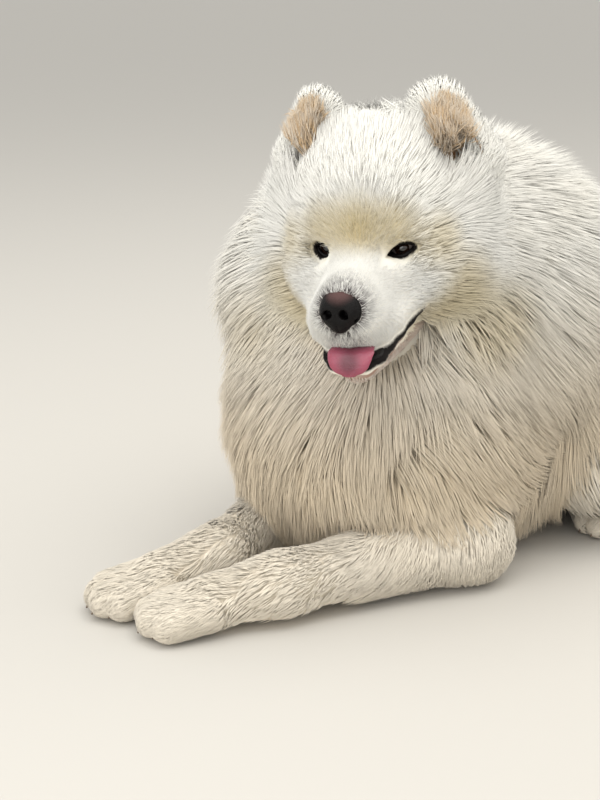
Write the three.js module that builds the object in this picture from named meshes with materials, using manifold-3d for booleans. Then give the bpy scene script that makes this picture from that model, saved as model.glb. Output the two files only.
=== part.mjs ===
// A samoyed lying on its chest with its forelegs stretched out and its head turned to its left,
// life size, in millimetres. +Z is up, the dog faces -Y and its left side is +X.
// Every fleshy form is a few balls and tapered bones that melt into one another. Its skin is the
// place where that field is zero, and a coat of known depth stands on each of them.
import * as THREE from "three";
import { mergeVertices } from "three/addons/utils/BufferGeometryUtils.js";
import Module from "manifold-3d";

const wasm = await Module();
wasm.setup();

// Driving dimensions of the pose. The body's own zero is on the floor between the elbows.
const BODY_TO_ORIGIN = [35, -112.1, 0];
const MIDLINE = 20;
const HEAD_AT = [120, -142, 359];
const HEAD_YAW = 33.5;
const HEAD_ROLL = -3;
const GAP = 0.32;

// How much of the coat's depth the smooth core of each node takes up
const CORE = 0.45;

const v3 = (p) => new THREE.Vector3(...p);
const mirrored = (p) => [-p[0], p[1], p[2]];
const acrossBody = (p) => [2 * MIDLINE - p[0], p[1], p[2]];
const radians = THREE.MathUtils.degToRad;

function seededRandom(seed) {
  let state = seed >>> 0;
  return () => {
    state = (state + 0x6d2b79f5) >>> 0;
    let mixed = Math.imul(state ^ (state >>> 15), 1 | state);
    mixed = (mixed + Math.imul(mixed ^ (mixed >>> 7), 61 | mixed)) ^ mixed;
    return ((mixed ^ (mixed >>> 14)) >>> 0) / 4294967296;
  };
}

// Flesh: forms with a signed distance, and the depth of the coat on them

function ball(at, size, coat = 0, yaw = 0) {
  const depth = Array.isArray(coat) ? coat : [coat, coat, coat];
  const cos = Math.cos(radians(yaw));
  const sin = Math.sin(radians(yaw));
  return (x, y, z, share, grow) => {
    const a = size[0] + depth[0] * share + grow;
    const b = size[1] + depth[1] * share + grow;
    const c = size[2] + depth[2] * share + grow;
    const east = x - at[0];
    const north = y - at[1];
    const dx = east * cos + north * sin;
    const dy = north * cos - east * sin;
    const dz = z - at[2];
    const near = Math.hypot(dx / a, dy / b, dz / c);
    const steep = Math.hypot(dx / (a * a), dy / (b * b), dz / (c * c));
    return steep < 1e-9 ? -Math.min(a, b, c) : (near * (near - 1)) / steep;
  };
}

function bone(from, to, thickFrom, thickTo, coatFrom = 0, coatTo = coatFrom) {
  const run = [to[0] - from[0], to[1] - from[1], to[2] - from[2]];
  const square = run[0] ** 2 + run[1] ** 2 + run[2] ** 2;
  return (x, y, z, share, grow) => {
    const dx = x - from[0];
    const dy = y - from[1];
    const dz = z - from[2];
    const along = Math.min(1, Math.max(0, (dx * run[0] + dy * run[1] + dz * run[2]) / square));
    const rest = Math.hypot(dx - run[0] * along, dy - run[1] * along, dz - run[2] * along);
    const thick = thickFrom + (thickTo - thickFrom) * along;
    return rest - thick - (coatFrom + (coatTo - coatFrom) * along) * share - grow;
  };
}

// The melted field of some forms, with each form's coat taken at the given share of its depth
function flesh(forms, melt) {
  return (point, share, grow = 0) => {
    let best = Infinity;
    for (const form of forms) {
      const here = form(point.x, point.y, point.z, share, grow);
      if (best === Infinity) best = here;
      else {
        const blend = Math.max(melt - Math.abs(best - here), 0) / melt;
        best = Math.min(best, here) - blend * blend * melt * 0.25;
      }
    }
    return best;
  };
}

function outward(field, point, share) {
  const step = 1.5;
  const probe = (dx, dy, dz) =>
    field(new THREE.Vector3(point.x + dx, point.y + dy, point.z + dz), share);
  return new THREE.Vector3(
    probe(step, 0, 0) - probe(-step, 0, 0),
    probe(0, step, 0) - probe(0, -step, 0),
    probe(0, 0, step) - probe(0, 0, -step),
  ).normalize();
}

// The outermost point of the field on a ray that starts on the node's own axis
function reachOut(field, from, along, share, grow, reach) {
  const point = new THREE.Vector3();
  const value = (s) => field(point.copy(along).multiplyScalar(s).add(from), share, grow);
  let outside = reach;
  let inside = 0;
  for (let i = 0; i < 120 && outside > 0; i++) {
    const here = value(outside);
    if (here < 0) {
      inside = outside;
      break;
    }
    const next = outside - Math.max(here * 0.55, 0.4);
    if (value(next) < 0) {
      inside = next;
      break;
    }
    outside = next;
  }
  for (let i = 0; i < 22; i++) {
    const middle = (inside + outside) / 2;
    if (value(middle) < 0) inside = middle;
    else outside = middle;
  }
  return (inside + outside) / 2;
}

// A frame that rides along a curve: across, along and up
function frameAt(path, share, upright) {
  const along = path.getTangentAt(share);
  const across = new THREE.Vector3().crossVectors(along, upright).normalize();
  const lift = new THREE.Vector3().crossVectors(across, along).normalize();
  return { at: path.getPointAt(share), along, across, lift };
}

// A capsule whose every vertex is pushed out along its own ray till it meets the field
function wrap(field, axis, { rings, sides, caps = 5, share = 0, grow = 0, reach = 330, up = [0, 0, 1] }) {
  const path = new THREE.CatmullRomCurve3(axis.map(v3));
  const capsule = new THREE.CapsuleGeometry(1, 1, caps, sides, rings);
  const spots = capsule.attributes.position;
  for (let i = 0; i < spots.count; i++) {
    const height = spots.getY(i);
    const middle = Math.min(0.5, Math.max(-0.5, height));
    const ring = frameAt(path, middle + 0.5, v3(up));
    const ray = new THREE.Vector3()
      .addScaledVector(ring.across, spots.getX(i))
      .addScaledVector(ring.along, height - middle)
      .addScaledVector(ring.lift, spots.getZ(i))
      .normalize();
    const out = reachOut(field, ring.at, ray, share, grow, reach);
    ring.at.addScaledVector(ray, out);
    spots.setXYZ(i, ring.at.x, ring.at.y, ring.at.z);
  }
  return capsule;
}

// A capsule bent along a path, with its half width and half thickness read off at each point
function sweep(points, wide, thick, { rings = 8, sides = 10, caps = 3, up = [0, 0, 1], grow = 0 } = {}) {
  const path = new THREE.CatmullRomCurve3(points.map(v3));
  const capsule = new THREE.CapsuleGeometry(1, 1, caps, sides, rings);
  const spots = capsule.attributes.position;
  const sizeAt = (list, share) => {
    const place = share * (list.length - 1);
    const low = Math.min(list.length - 2, Math.floor(place));
    return THREE.MathUtils.lerp(list[low], list[low + 1], place - low) + grow;
  };
  for (let i = 0; i < spots.count; i++) {
    const height = spots.getY(i);
    const middle = Math.min(0.5, Math.max(-0.5, height));
    const share = middle + 0.5;
    const ring = frameAt(path, share, v3(up));
    const halfWidth = sizeAt(wide, share);
    const halfThickness = sizeAt(thick, share);
    const roundEnd = Math.min(halfWidth, halfThickness);
    ring.at
      .addScaledVector(ring.across, spots.getX(i) * halfWidth)
      .addScaledVector(ring.along, (height - middle) * roundEnd)
      .addScaledVector(ring.lift, spots.getZ(i) * halfThickness);
    spots.setXYZ(i, ring.at.x, ring.at.y, ring.at.z);
  }
  return capsule;
}

function solidFrom(geometry) {
  const bare = geometry.clone();
  bare.deleteAttribute("normal");
  bare.deleteAttribute("uv");
  const merged = mergeVertices(bare, 1e-3);
  const old = merged.index.array;
  const kept = [];
  for (let i = 0; i < old.length; i += 3) {
    const [a, b, c] = [old[i], old[i + 1], old[i + 2]];
    if (a !== b && b !== c && a !== c) kept.push(a, b, c);
  }
  const build = () => new wasm.Manifold(new wasm.Mesh({
    numProp: 3,
    vertProperties: merged.attributes.position.array,
    triVerts: new Uint32Array(kept),
  }));
  const solid = build();
  if (solid.volume() > 0) return solid;
  for (let i = 0; i < kept.length; i += 3) [kept[i], kept[i + 1]] = [kept[i + 1], kept[i]];
  return build();
}

const joined = (solids) => wasm.Manifold.union(solids);

function largestOf(solid) {
  return solid.decompose().sort((a, b) => b.volume() - a.volume())[0];
}

function geometryFrom(solid) {
  const mesh = solid.getMesh();
  const geometry = new THREE.BufferGeometry();
  const spots = new Float32Array(mesh.numVert * 3);
  for (let i = 0; i < mesh.numVert; i++) {
    spots.set(mesh.vertProperties.subarray(i * mesh.numProp, i * mesh.numProp + 3), i * 3);
  }
  geometry.setAttribute("position", new THREE.BufferAttribute(spots, 3));
  geometry.setIndex(new THREE.BufferAttribute(new Uint32Array(mesh.triVerts), 1));
  return geometry;
}

// A lock of hair: flat below, ridged above, widest near its root and drawn out to a tip.
// Its edges are thin, so they move out further than its faces to leave the same gap.
const lockWidthAt = (share) => 0.7 + 1.3 * share - 2 * share * share;
const LOCK_CORNERS = [
  { across: -0.5, lift: -0.3, gapAcross: -5, gapLift: -1 },
  { across: 0.5, lift: -0.3, gapAcross: 5, gapLift: -1 },
  { across: 0, lift: 0.7, gapAcross: 0, gapLift: 1.4 },
];

function lockSolid(spine, faces, width, thickness, grow) {
  const spots = [];
  const rows = spine.length - 1;
  for (let i = 0; i < rows; i++) {
    const ahead = spine[i + 1].clone().sub(spine[i]).normalize();
    const across = new THREE.Vector3().crossVectors(ahead, faces[i]).normalize();
    const lift = new THREE.Vector3().crossVectors(across, ahead).normalize();
    const start = spine[i].clone().addScaledVector(ahead, i === 0 ? -grow : 0);
    const size = lockWidthAt(i / rows);
    for (const corner of LOCK_CORNERS) {
      spots.push(start.clone()
        .addScaledVector(across, corner.across * width * size + corner.gapAcross * grow)
        .addScaledVector(lift, corner.lift * thickness * size + corner.gapLift * grow));
    }
  }
  const last = spine[rows].clone().sub(spine[rows - 1]).normalize();
  spots.push(spine[rows].clone().addScaledVector(last, grow * 4));
  const faceList = [0, 1, 2];
  for (let i = 0; i < rows; i++) {
    for (let k = 0; k < 3; k++) {
      const here = i * 3 + k;
      const beside = i * 3 + ((k + 1) % 3);
      if (i === rows - 1) faceList.push(beside, here, rows * 3);
      else faceList.push(beside, here, here + 3, beside, here + 3, beside + 3);
    }
  }
  const geometry = new THREE.BufferGeometry().setFromPoints(spots);
  geometry.setIndex(faceList);
  return solidFrom(geometry);
}

// Walks along the lie of the coat, climbing from inside the core to the coat's outer face
const LONG_CLIMB = [0.15, 0.68, 0.92, 1.04, 1.06];
const SHORT_CLIMB = [0.15, 0.76, 0.98, 1.04];
const FLOOR_CLEAR = 9;

function lockOn(field, root, lie, shape, climb) {
  const spine = [];
  const faces = [];
  const here = root.clone();
  climb.forEach((share, i) => {
    if (i > 0) {
      const face = faces[i - 1];
      const flow = lie(here, face);
      flow.addScaledVector(face, -flow.dot(face)).normalize();
      here.addScaledVector(flow, shape.length / (climb.length - 1));
    }
    for (let settle = 0; settle < 4; settle++) {
      here.addScaledVector(outward(field, here, share), -field(here, share));
    }
    here.z = Math.max(here.z, FLOOR_CLEAR - i);
    spine.push(here.clone());
    faces.push(outward(field, here, share));
  });
  return (grow) => lockSolid(spine, faces, shape.width, shape.thickness, grow);
}

// A lock bent so sharply that its gap would close isn't used
const keepsGap = (lock) => lock(0).subtract(lock(GAP)).volume() < 0.2;
const TRIES = 5;

// Staggered rows of locks round a node's axis, a little uneven as hair is, where the coat shows
function lockRows({ core, coat, axis, up = [0, 0, 1], rows, lie, hidden, seed, climb }) {
  const path = new THREE.CatmullRomCurve3(axis.map(v3));
  const random = seededRandom(seed);
  const locks = [];

  const tryLock = (row, index, i) => {
    const share = (i + 0.5 + (index % 2) * 0.5 + 0.4 * (random() - 0.5)) / row.count;
    const turn = radians(row.from + (row.to - row.from) * share);
    const along = Math.min(1, Math.max(0, row.at + 0.04 * (random() - 0.5)));
    const size = 0.88 + 0.24 * random();
    const ring = frameAt(path, along, v3(up));
    const ray = new THREE.Vector3()
      .addScaledVector(ring.across, Math.cos(turn))
      .addScaledVector(ring.lift, Math.sin(turn))
      .addScaledVector(ring.along, row.lean ?? 0)
      .normalize();
    const root = ring.at.addScaledVector(ray, reachOut(core, ring.at, ray, CORE, 0, 330));
    if (hidden(root) || root.z < FLOOR_CLEAR * 2) return false;
    const lock = lockOn(coat, root, lie, {
      length: row.length * size, width: row.width * size, thickness: row.thickness,
    }, climb);
    if (!keepsGap(lock)) return false;
    locks.push(lock);
    return true;
  };

  rows.forEach((row, index) => {
    for (let i = 0; i < row.count; i++) {
      for (let tries = 0; tries < TRIES; tries++) {
        if (tryLock(row, index, i)) break;
      }
    }
  });
  return locks;
}

// The head, in its own frame: zero between the eyes, nose towards -Y

const headPlace = new THREE.Matrix4()
  .makeTranslation(...HEAD_AT)
  .multiply(new THREE.Matrix4().makeRotationZ(radians(HEAD_YAW)))
  .multiply(new THREE.Matrix4().makeRotationY(radians(HEAD_ROLL)));

const both = (make) => [make((p) => p), make(mirrored)];

const skull = flesh([
  ball([0, 74, 28], [64, 78, 64], [30, 30, 30]),
  ball([0, 20, 12], [50, 40, 36], 12),
  ...both((side) => ball(side([25, 3, 15]), [18, 13, 10], 5)),
  ...both((side) => ball(side([40, 44, -20]), [36, 48, 38], 18)),
  ...both((side) => ball(side([34, 10, -38]), [20, 34, 26], 7)),
  bone([0, 10, -30], [0, -66, -44], 37, 27, 3),
  ...both((side) => ball(side([17, -56, -53]), [17, 30, 16], 3)),
  bone([0, 0, -10], [0, -78, -31], 18, 13, 2),
], 22);
const skullAxis = [[0, 88, 18], [0, 45, 8], [0, 0, -16], [0, -40, -38], [0, -72, -44]];

const EYE = { at: [34.5, 8.5, -1], ball: 12, lid: 14.2, half: 12.2, open: 5.6, slant: 17, outward: 14 };

// An almond prism along the line of sight, for the opening between the lids
function almond(side) {
  const shape = new THREE.Shape();
  shape.moveTo(-EYE.half, 0);
  shape.quadraticCurveTo(0, 2 * EYE.open, EYE.half, 0);
  shape.quadraticCurveTo(0, -2 * EYE.open, -EYE.half, 0);
  const prism = new THREE.ExtrudeGeometry(shape, { depth: 30, bevelEnabled: false, curveSegments: 7 });
  prism.rotateX(Math.PI / 2);
  prism.rotateY(-radians(EYE.slant * side));
  prism.rotateZ(radians(EYE.outward * side));
  prism.translate(EYE.at[0] * side, EYE.at[1], EYE.at[2]);
  return solidFrom(prism);
}

function eyeBall(side, size) {
  const geometry = new THREE.SphereGeometry(size, 12, 8);
  geometry.translate(EYE.at[0] * side, EYE.at[1], EYE.at[2]);
  return solidFrom(geometry);
}

function noseSolid(grow) {
  const pad = flesh([
    ball([0, -85, -34], [18, 14, 13]),
    ...both((side) => ball(side([11, -87, -42]), [11, 13, 12])),
    ball([0, -90, -53], [10, 8, 10]),
  ], 8);
  let nose = solidFrom(wrap(pad, [[0, -84, -40], [0, -89, -40]], {
    rings: 1, sides: 12, caps: 5, grow, reach: 60,
  }));
  if (grow === 0) {
    for (const side of [1, -1]) {
      const nostril = sweep(
        [[5 * side, -104, -42], [8 * side, -96, -43], [14 * side, -94, -46], [18 * side, -97, -48]],
        [2.6, 3.4, 2.8, 1.2],
        [2.6, 3.2, 2.2, 1.0],
        { rings: 3, sides: 6, caps: 1 },
      );
      nose = nose.subtract(solidFrom(nostril));
    }
    const groove = sweep([[0, -103, -42], [0, -101.5, -50], [0, -98, -62]], [1, 1, 1], [1.2, 1.2, 1.2], {
      rings: 2, sides: 4, caps: 1, up: [0, 1, 0],
    });
    nose = nose.subtract(solidFrom(groove));
  }
  return nose;
}

const tongueSolid = (grow) => solidFrom(sweep(
  [[3, 6, -78], [4, -40, -78], [5, -74, -77], [5, -90, -84], [5, -91, -97]],
  [18, 21, 22, 22, 16],
  [4, 4, 4, 3.6, 2.6],
  { rings: 8, sides: 10, caps: 2, grow, up: [0, -0.35, 1] },
));

const jawFlesh = flesh([
  bone([0, 44, -84], [0, -54, -95], 30, 17, 5),
  ...both((side) => bone(side([30, 36, -76]), side([12, -52, -89]), 14, 9, 4)),
], 12);

const jawAxis = [[0, 40, -84], [0, 0, -90], [0, -50, -95]];
const jawSolid = (share, grow) => solidFrom(wrap(jawFlesh, jawAxis, {
  rings: 6, sides: 13, caps: 3, share, grow, reach: 120,
}));

// The open mouth's lower edge is a plane that slopes down from its corners to the lower lip
const MOUTH = { corner: [0, -6, -59], lip: [0, -90, -92], wide: 160, deep: 120, open: 80, lipThick: 4 };

// The slab between two heights over that plane
function mouthSlab(low, high) {
  const drop = Math.atan2(MOUTH.corner[2] - MOUTH.lip[2], MOUTH.corner[1] - MOUTH.lip[1]);
  const block = new THREE.BoxGeometry(MOUTH.wide, MOUTH.deep * 2, high - low);
  block.translate(0, -MOUTH.deep, (low + high) / 2);
  block.rotateX(drop);
  block.translate(...MOUTH.corner);
  return solidFrom(block);
}

function headSolid(share, grow) {
  let head = solidFrom(wrap(skull, skullAxis, {
    rings: 14, sides: 20, caps: 4, share, grow, reach: 220,
  }));
  for (const side of [1, -1]) head = head.add(eyeBall(side, EYE.lid + grow));
  return head;
}

// Ears: a flattened, rounded cone with a cup cut in its front. The right one is held closer in.
const EAR = { base: [70, 72, 76], tip: [56, 66, 125], wide: 37, narrow: 23, flat: 0.44, turn: 22 };
const RIGHT_EAR_IN = 9;

function earCone(side, from, to, wide, narrow, flat, grow) {
  const cone = flesh([bone([0, 0, 0], [0, 0, to], wide, narrow)], 1);
  const geometry = wrap(cone, [[0, 0, from], [0, 0, to * 0.95]], {
    rings: 3, sides: 12, caps: 2, grow, reach: 90, up: [0, 1, 0],
  });
  geometry.scale(1, flat, 1);
  return geometry;
}

function earSolid(side, grow) {
  const lean = Math.atan2(EAR.tip[0] - EAR.base[0], EAR.tip[2] - EAR.base[2]);
  const height = Math.hypot(EAR.tip[0] - EAR.base[0], EAR.tip[2] - EAR.base[2]);
  const place = (geometry) => {
    geometry.rotateX(radians(8));
    geometry.rotateY(lean * side);
    geometry.rotateZ(radians(EAR.turn * side));
    geometry.translate(side > 0 ? EAR.base[0] : RIGHT_EAR_IN - EAR.base[0], EAR.base[1], EAR.base[2]);
    return solidFrom(geometry);
  };
  const shell = place(earCone(side, -26, height, EAR.wide, EAR.narrow, EAR.flat, grow));
  if (grow > 0) return shell;
  const cup = earCone(side, -14, height - 3, EAR.wide - 11, EAR.narrow - 10, EAR.flat * 1.1, 0);
  cup.translate(1.5 * side, -11, 0);
  return shell.subtract(place(cup));
}

// The neck, from the withers to the back of the skull, the ruff round the face and the bib below it
const neckFlesh = flesh([
  ball([41, -73, 284], [78, 56, 86], [82, 28, 70], HEAD_YAW),
  bone([24, 74, 266], [58, -40, 356], 86, 60, 100, 50),
  ball([16, -52, 146], [78, 84, 92], [70, 58, 56]),
], 40);
const neckAxis = [[24, -46, 112], [30, -50, 200], [46, -66, 290], [52, -56, 350]];

// The torso lies on its breastbone, deepest behind the elbows and highest at the withers
const torsoFlesh = flesh([
  ball([MIDLINE, 62, 158], [104, 160, 144], [50, 40, 50]),
  ball([MIDLINE - 84, -20, 138], [44, 66, 82], 42),
  ball([MIDLINE + 84, -20, 138], [44, 66, 82], 42),
  ball([MIDLINE, 100, 250], [70, 140, 94], [60, 65, 104]),
  ball([MIDLINE, 250, 172], [98, 156, 124], [56, 56, 66]),
  ball([MIDLINE, 345, 140], [104, 112, 118], 50),
], 44);
const torsoAxis = [[MIDLINE, -40, 150], [MIDLINE, 90, 166], [MIDLINE, 220, 162], [MIDLINE, 362, 138]];

// The forelegs lie along the floor, the left a little wider than the right
const FORELEGS = {
  left: { elbow: [150, -20, 45], wrist: [98, -226, 33], knuckle: [72, -298, 25], toes: [44, -350, 20] },
  right: { elbow: [-92, -6, 45], wrist: [0, -228, 33], knuckle: [-6, -302, 25], toes: [-22, -362, 20] },
};
const forelegFlesh = (leg) => flesh([
  bone([leg.elbow[0] * 0.6 + 0.4 * MIDLINE, leg.elbow[1] - 10, 120], leg.elbow, 44, 33, 16, 12),
  bone(leg.elbow, leg.wrist, 32, 23, 13, 8),
  bone(leg.wrist, leg.knuckle, 22, 18, 8, 7),
], 24);

// A hind leg is folded beside the rump, with the foot flat on the floor
const HINDLEG = {
  hip: [86, 335, 150], knee: [150, 196, 104], calf: [160, 330, 62],
  hock: [164, 395, 38], foot: [158, 240, 30], toes: [156, 168, 20],
};
const thighFlesh = (side) => flesh([
  bone(side(HINDLEG.hip), side(HINDLEG.knee), 80, 50, 40),
  ball(side([122, 300, 118]), [58, 102, 88], 40),
], 40);
const shankFlesh = (side) => flesh([
  bone(side(HINDLEG.calf), side(HINDLEG.hock), 34, 24, 20, 14),
  bone(side(HINDLEG.hock), side(HINDLEG.foot), 24, 22, 12, 10),
], 16);

const TOE_SPREAD = [-24, -8.5, 8.5, 24];
const TOE_REACH = [-12, 0, 0, -12];
const TOE_COAT = 4;

// Where a paw points, and the way across it
function pawFrame(foot) {
  const run = v3(foot.toes).sub(v3(foot.knuckle)).setZ(0).normalize();
  return { run, across: new THREE.Vector3(-run.y, run.x, 0) };
}

function pawFlesh(foot) {
  const { run, across } = pawFrame(foot);
  const digits = TOE_SPREAD.map((offset, i) => {
    const start = v3(foot.knuckle).addScaledVector(across, offset * 0.62);
    const end = v3(foot.toes).addScaledVector(across, offset).addScaledVector(run, TOE_REACH[i] - 8);
    return bone(start.toArray(), end.setZ(17).toArray(), 15.5, 11.5, TOE_COAT);
  });
  return flesh([bone(foot.wrist, foot.knuckle, 21, 18, 7), ...digits], 5);
}

function clawSolid(foot, i, grow) {
  const { run, across } = pawFrame(foot);
  const base = v3(foot.toes).addScaledVector(across, TOE_SPREAD[i]).addScaledVector(run, TOE_REACH[i] + 5);
  const points = [0, 7, 14].map((reach, step) =>
    base.clone().setZ(15 - 2.2 * step * step).addScaledVector(run, reach).toArray());
  return solidFrom(sweep(points, [3.4, 2.8, 1.2], [4, 3, 1.2], { rings: 2, sides: 4, caps: 1, grow }));
}

// The tail leaves the rump, drops to the floor and curls along the right haunch
const TAIL_PATH = [
  [20, 420, 205], [0, 490, 150], [-50, 545, 84], [-128, 548, 60],
  [-196, 500, 56], [-232, 420, 52], [-240, 335, 46],
];
const TAIL_THICK = [34, 27, 22, 19, 17, 15, 11];
const TAIL_COAT = 46;
const tailBones = TAIL_PATH.slice(1).map((point, i) => (
  bone(TAIL_PATH[i], point, TAIL_THICK[i], TAIL_THICK[i + 1], TAIL_COAT)));
const tailFlesh = flesh(tailBones, 20);
const tailLength = (from, to) => ({
  path: TAIL_PATH.slice(from, to + 1), flesh: flesh(tailBones.slice(from, to), 20),
});
const TAIL_LENGTHS = { base: tailLength(0, 2), middle: tailLength(2, 4), tip: tailLength(4, 6) };

// The coat over the whole body, so that locks lie smoothly from one node on to the next
const leftSide = (p) => [...p];
const thighs = [leftSide, acrossBody].map(thighFlesh);
const intoHead = headPlace.clone().invert();
const skullHere = (point, share, grow = 0) => skull(point.clone().applyMatrix4(intoHead), share, grow);
const jawHere = (point, share, grow = 0) => jawFlesh(point.clone().applyMatrix4(intoHead), share, grow);
const wholeCoat = (point, share, grow = 0) => Math.min(
  neckFlesh(point, share, grow),
  torsoFlesh(point, share, grow),
  ...thighs.map((thigh) => thigh(point, share, grow)),
);
const inside = (field, point, depth) => field(point, CORE) < -depth;

const faceMiddle = new THREE.Vector3(0, -10, -20).applyMatrix4(headPlace);
const fromFace = (point) => (
  point.clone().sub(faceMiddle).normalize().add(new THREE.Vector3(0, 0, -0.75)));
const ruffLocks = lockRows({
  core: neckFlesh,
  coat: wholeCoat,
  axis: neckAxis,
  up: [0, 1, 0],
  lie: fromFace,
  seed: 11,
  climb: LONG_CLIMB,
  hidden: (root) => inside(torsoFlesh, root, 10) || inside(skullHere, root, -6)
    || inside(jawHere, root, -14),
  rows: [
    { at: 0.03, from: 170, to: 375, count: 6, length: 92, width: 50, thickness: 14 },
    { at: 0.3, from: 160, to: 385, count: 8, length: 116, width: 50, thickness: 14 },
    { at: 0.54, from: 140, to: 400, count: 9, length: 124, width: 52, thickness: 14 },
    { at: 0.76, from: 130, to: 410, count: 9, length: 128, width: 54, thickness: 14 },
    { at: 0.98, from: 120, to: 420, count: 9, length: 124, width: 54, thickness: 14 },
    { at: 0.8, from: 50, to: 130, count: 3, length: 128, width: 54, thickness: 15, lean: 0.5 },
    { at: 0.95, from: 30, to: 150, count: 4, length: 128, width: 54, thickness: 15, lean: 1 },
  ],
});

// Hair on the shoulders hangs down, and further back it lies along the body
const SHOULDERS_END = 60;
const backward = (point) => {
  const hang = THREE.MathUtils.clamp((SHOULDERS_END - point.y) / 120, 0, 1);
  return new THREE.Vector3(0, 1, -0.42 - 1.6 * hang);
};
const backLocks = lockRows({
  core: torsoFlesh,
  coat: wholeCoat,
  axis: torsoAxis,
  lie: backward,
  seed: 23,
  climb: SHORT_CLIMB,
  hidden: (root) => inside(neckFlesh, root, 4) || thighs.some((thigh) => inside(thigh, root, 4)),
  rows: [
    { at: 0, from: -55, to: 25, count: 3, length: 104, width: 50, thickness: 14, lean: -0.7 },
    { at: 0, from: 155, to: 235, count: 2, length: 104, width: 50, thickness: 14, lean: -0.7 },
    { at: 0.06, from: -50, to: 230, count: 8, length: 112, width: 56, thickness: 14 },
    { at: 0.3, from: -35, to: 215, count: 8, length: 120, width: 60, thickness: 14 },
    { at: 0.54, from: -25, to: 205, count: 8, length: 116, width: 60, thickness: 14 },
    { at: 0.78, from: -10, to: 190, count: 6, length: 108, width: 60, thickness: 14 },
    { at: 1, from: 0, to: 180, count: 5, length: 90, width: 54, thickness: 13, lean: 0.2 },
  ],
});

const downThigh = () => new THREE.Vector3(0, 0.9, -0.7);
const thighAxis = [[112, 350, 122], [124, 290, 118], [144, 215, 106]];
const thighLocks = [leftSide, acrossBody].map((side, i) => lockRows({
  core: thighs[i],
  coat: wholeCoat,
  axis: thighAxis.map(side),
  lie: downThigh,
  seed: 31 + i,
  climb: SHORT_CLIMB,
  hidden: (root) => inside(torsoFlesh, root, 3),
  rows: [
    { at: 0.3, from: -50, to: 230, count: 5, length: 92, width: 52, thickness: 13 },
    { at: 0.92, from: -50, to: 230, count: 4, length: 92, width: 48, thickness: 13 },
  ],
}));

const tailPath = new THREE.CatmullRomCurve3(TAIL_PATH.map(v3));
function alongTail(point) {
  let nearest = 0;
  let least = Infinity;
  for (let share = 0; share <= 1; share += 0.02) {
    const away = tailPath.getPointAt(share).distanceTo(point);
    if (away < least) [least, nearest] = [away, share];
  }
  const away = point.clone().sub(tailPath.getPointAt(nearest)).normalize();
  return tailPath.getTangentAt(nearest).addScaledVector(away, 0.35).add(new THREE.Vector3(0, 0, -0.25));
}
const tailLocks = (length, index) => lockRows({
  core: length.flesh,
  coat: tailFlesh,
  axis: length.path,
  lie: alongTail,
  seed: 41 + index,
  climb: SHORT_CLIMB,
  hidden: (root) => inside(torsoFlesh, root, 3) || thighs.some((thigh) => inside(thigh, root, 3)),
  rows: [0.3, 0.8].map((at) => (
    { at, from: 0, to: 190, count: 3, length: 104, width: 44, thickness: 13 })),
});

const crownFlow = (point) => {
  const here = point.clone().applyMatrix4(intoHead);
  const away = new THREE.Vector3(here.x * 0.8, 55, Math.max(here.z, -10)).normalize();
  return away.transformDirection(headPlace);
};
const crownLocks = lockRows({
  core: skullHere,
  coat: skullHere,
  axis: skullAxis.slice(0, 3).map((spot) => v3(spot).applyMatrix4(headPlace).toArray()),
  lie: crownFlow,
  seed: 53,
  climb: SHORT_CLIMB,
  hidden: (root) => inside(neckFlesh, root, 2),
  rows: [
    { at: 0.5, from: -25, to: 205, count: 6, length: 56, width: 27, thickness: 8 },
    { at: 0.2, from: 0, to: 180, count: 4, length: 56, width: 28, thickness: 8 },
  ],
});

const withLocks = (solid, locks, grow) => joined([solid, ...locks.map((lock) => lock(grow))]);

// Putting the nodes together. Each is cut clear of those that come before it.

const dog = new THREE.Group();
const made = [];
const floorCut = solidFrom(new THREE.BoxGeometry(3000, 3000, 400).translate(0, 0, -200));

function addNode(name, shape, colour, roughness, trim = (solid) => solid) {
  let kept = trim(shape(0)).subtract(floorCut);
  const box = kept.boundingBox();
  for (const other of made) {
    const theirs = other.boundingBox();
    const apart = [0, 1, 2].some((k) => theirs.min[k] > box.max[k] || theirs.max[k] < box.min[k]);
    if (!apart) kept = kept.subtract(other);
  }
  made.push(shape(GAP));
  const material = new THREE.MeshStandardMaterial({ color: colour, roughness, metalness: 0 });
  const mesh = new THREE.Mesh(geometryFrom(largestOf(kept)), material);
  mesh.name = name;
  mesh.position.set(...BODY_TO_ORIGIN);
  dog.add(mesh);
}

const WHITE = 0xf3eee2;
const CREAM = 0xe6d9c2;
const BLACK = 0x1c1817;
const PINK = 0xc4697a;
const inHead = (solid) => solid.transform(headPlace.elements);
const words = [["left", 1], ["right", -1]];

for (const [word, side] of words) {
  addNode(`eye_${word}`, (grow) => inHead(eyeBall(side, EYE.ball + grow)), 0x15100d, 0.08);
}
addNode("tongue", (grow) => inHead(tongueSolid(grow)), PINK, 0.45);
for (const [word, side] of words) {
  addNode(`ear_${word}`, (grow) => inHead(earSolid(side, grow)), WHITE, 0.9);
}

const neckShape = (grow) => withLocks(solidFrom(wrap(neckFlesh, neckAxis, {
  rings: 8, sides: 18, caps: 4, share: CORE, grow, up: [0, 1, 0],
})), ruffLocks, grow);
addNode("neck", neckShape, WHITE, 0.9);

const lipShape = (grow) => inHead(
  jawSolid(0.7, grow).intersect(mouthSlab(-MOUTH.lipThick - grow, grow)));
addNode("lower_lip", lipShape, BLACK, 0.4);

const jawTop = inHead(mouthSlab(-MOUTH.lipThick - GAP, MOUTH.open));
addNode("lower_jaw", (grow) => inHead(jawSolid(0.9, grow)), WHITE, 0.9, (solid) => solid.subtract(jawTop));

const headShape = (grow) => withLocks(inHead(headSolid(CORE, grow)), crownLocks, grow);
const betweenLids = (solid) => solid.subtract(inHead(almond(1))).subtract(inHead(almond(-1)));
addNode("head", headShape, WHITE, 0.9, betweenLids);

addNode("nose", (grow) => inHead(noseSolid(grow)), BLACK, 0.4);

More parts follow.
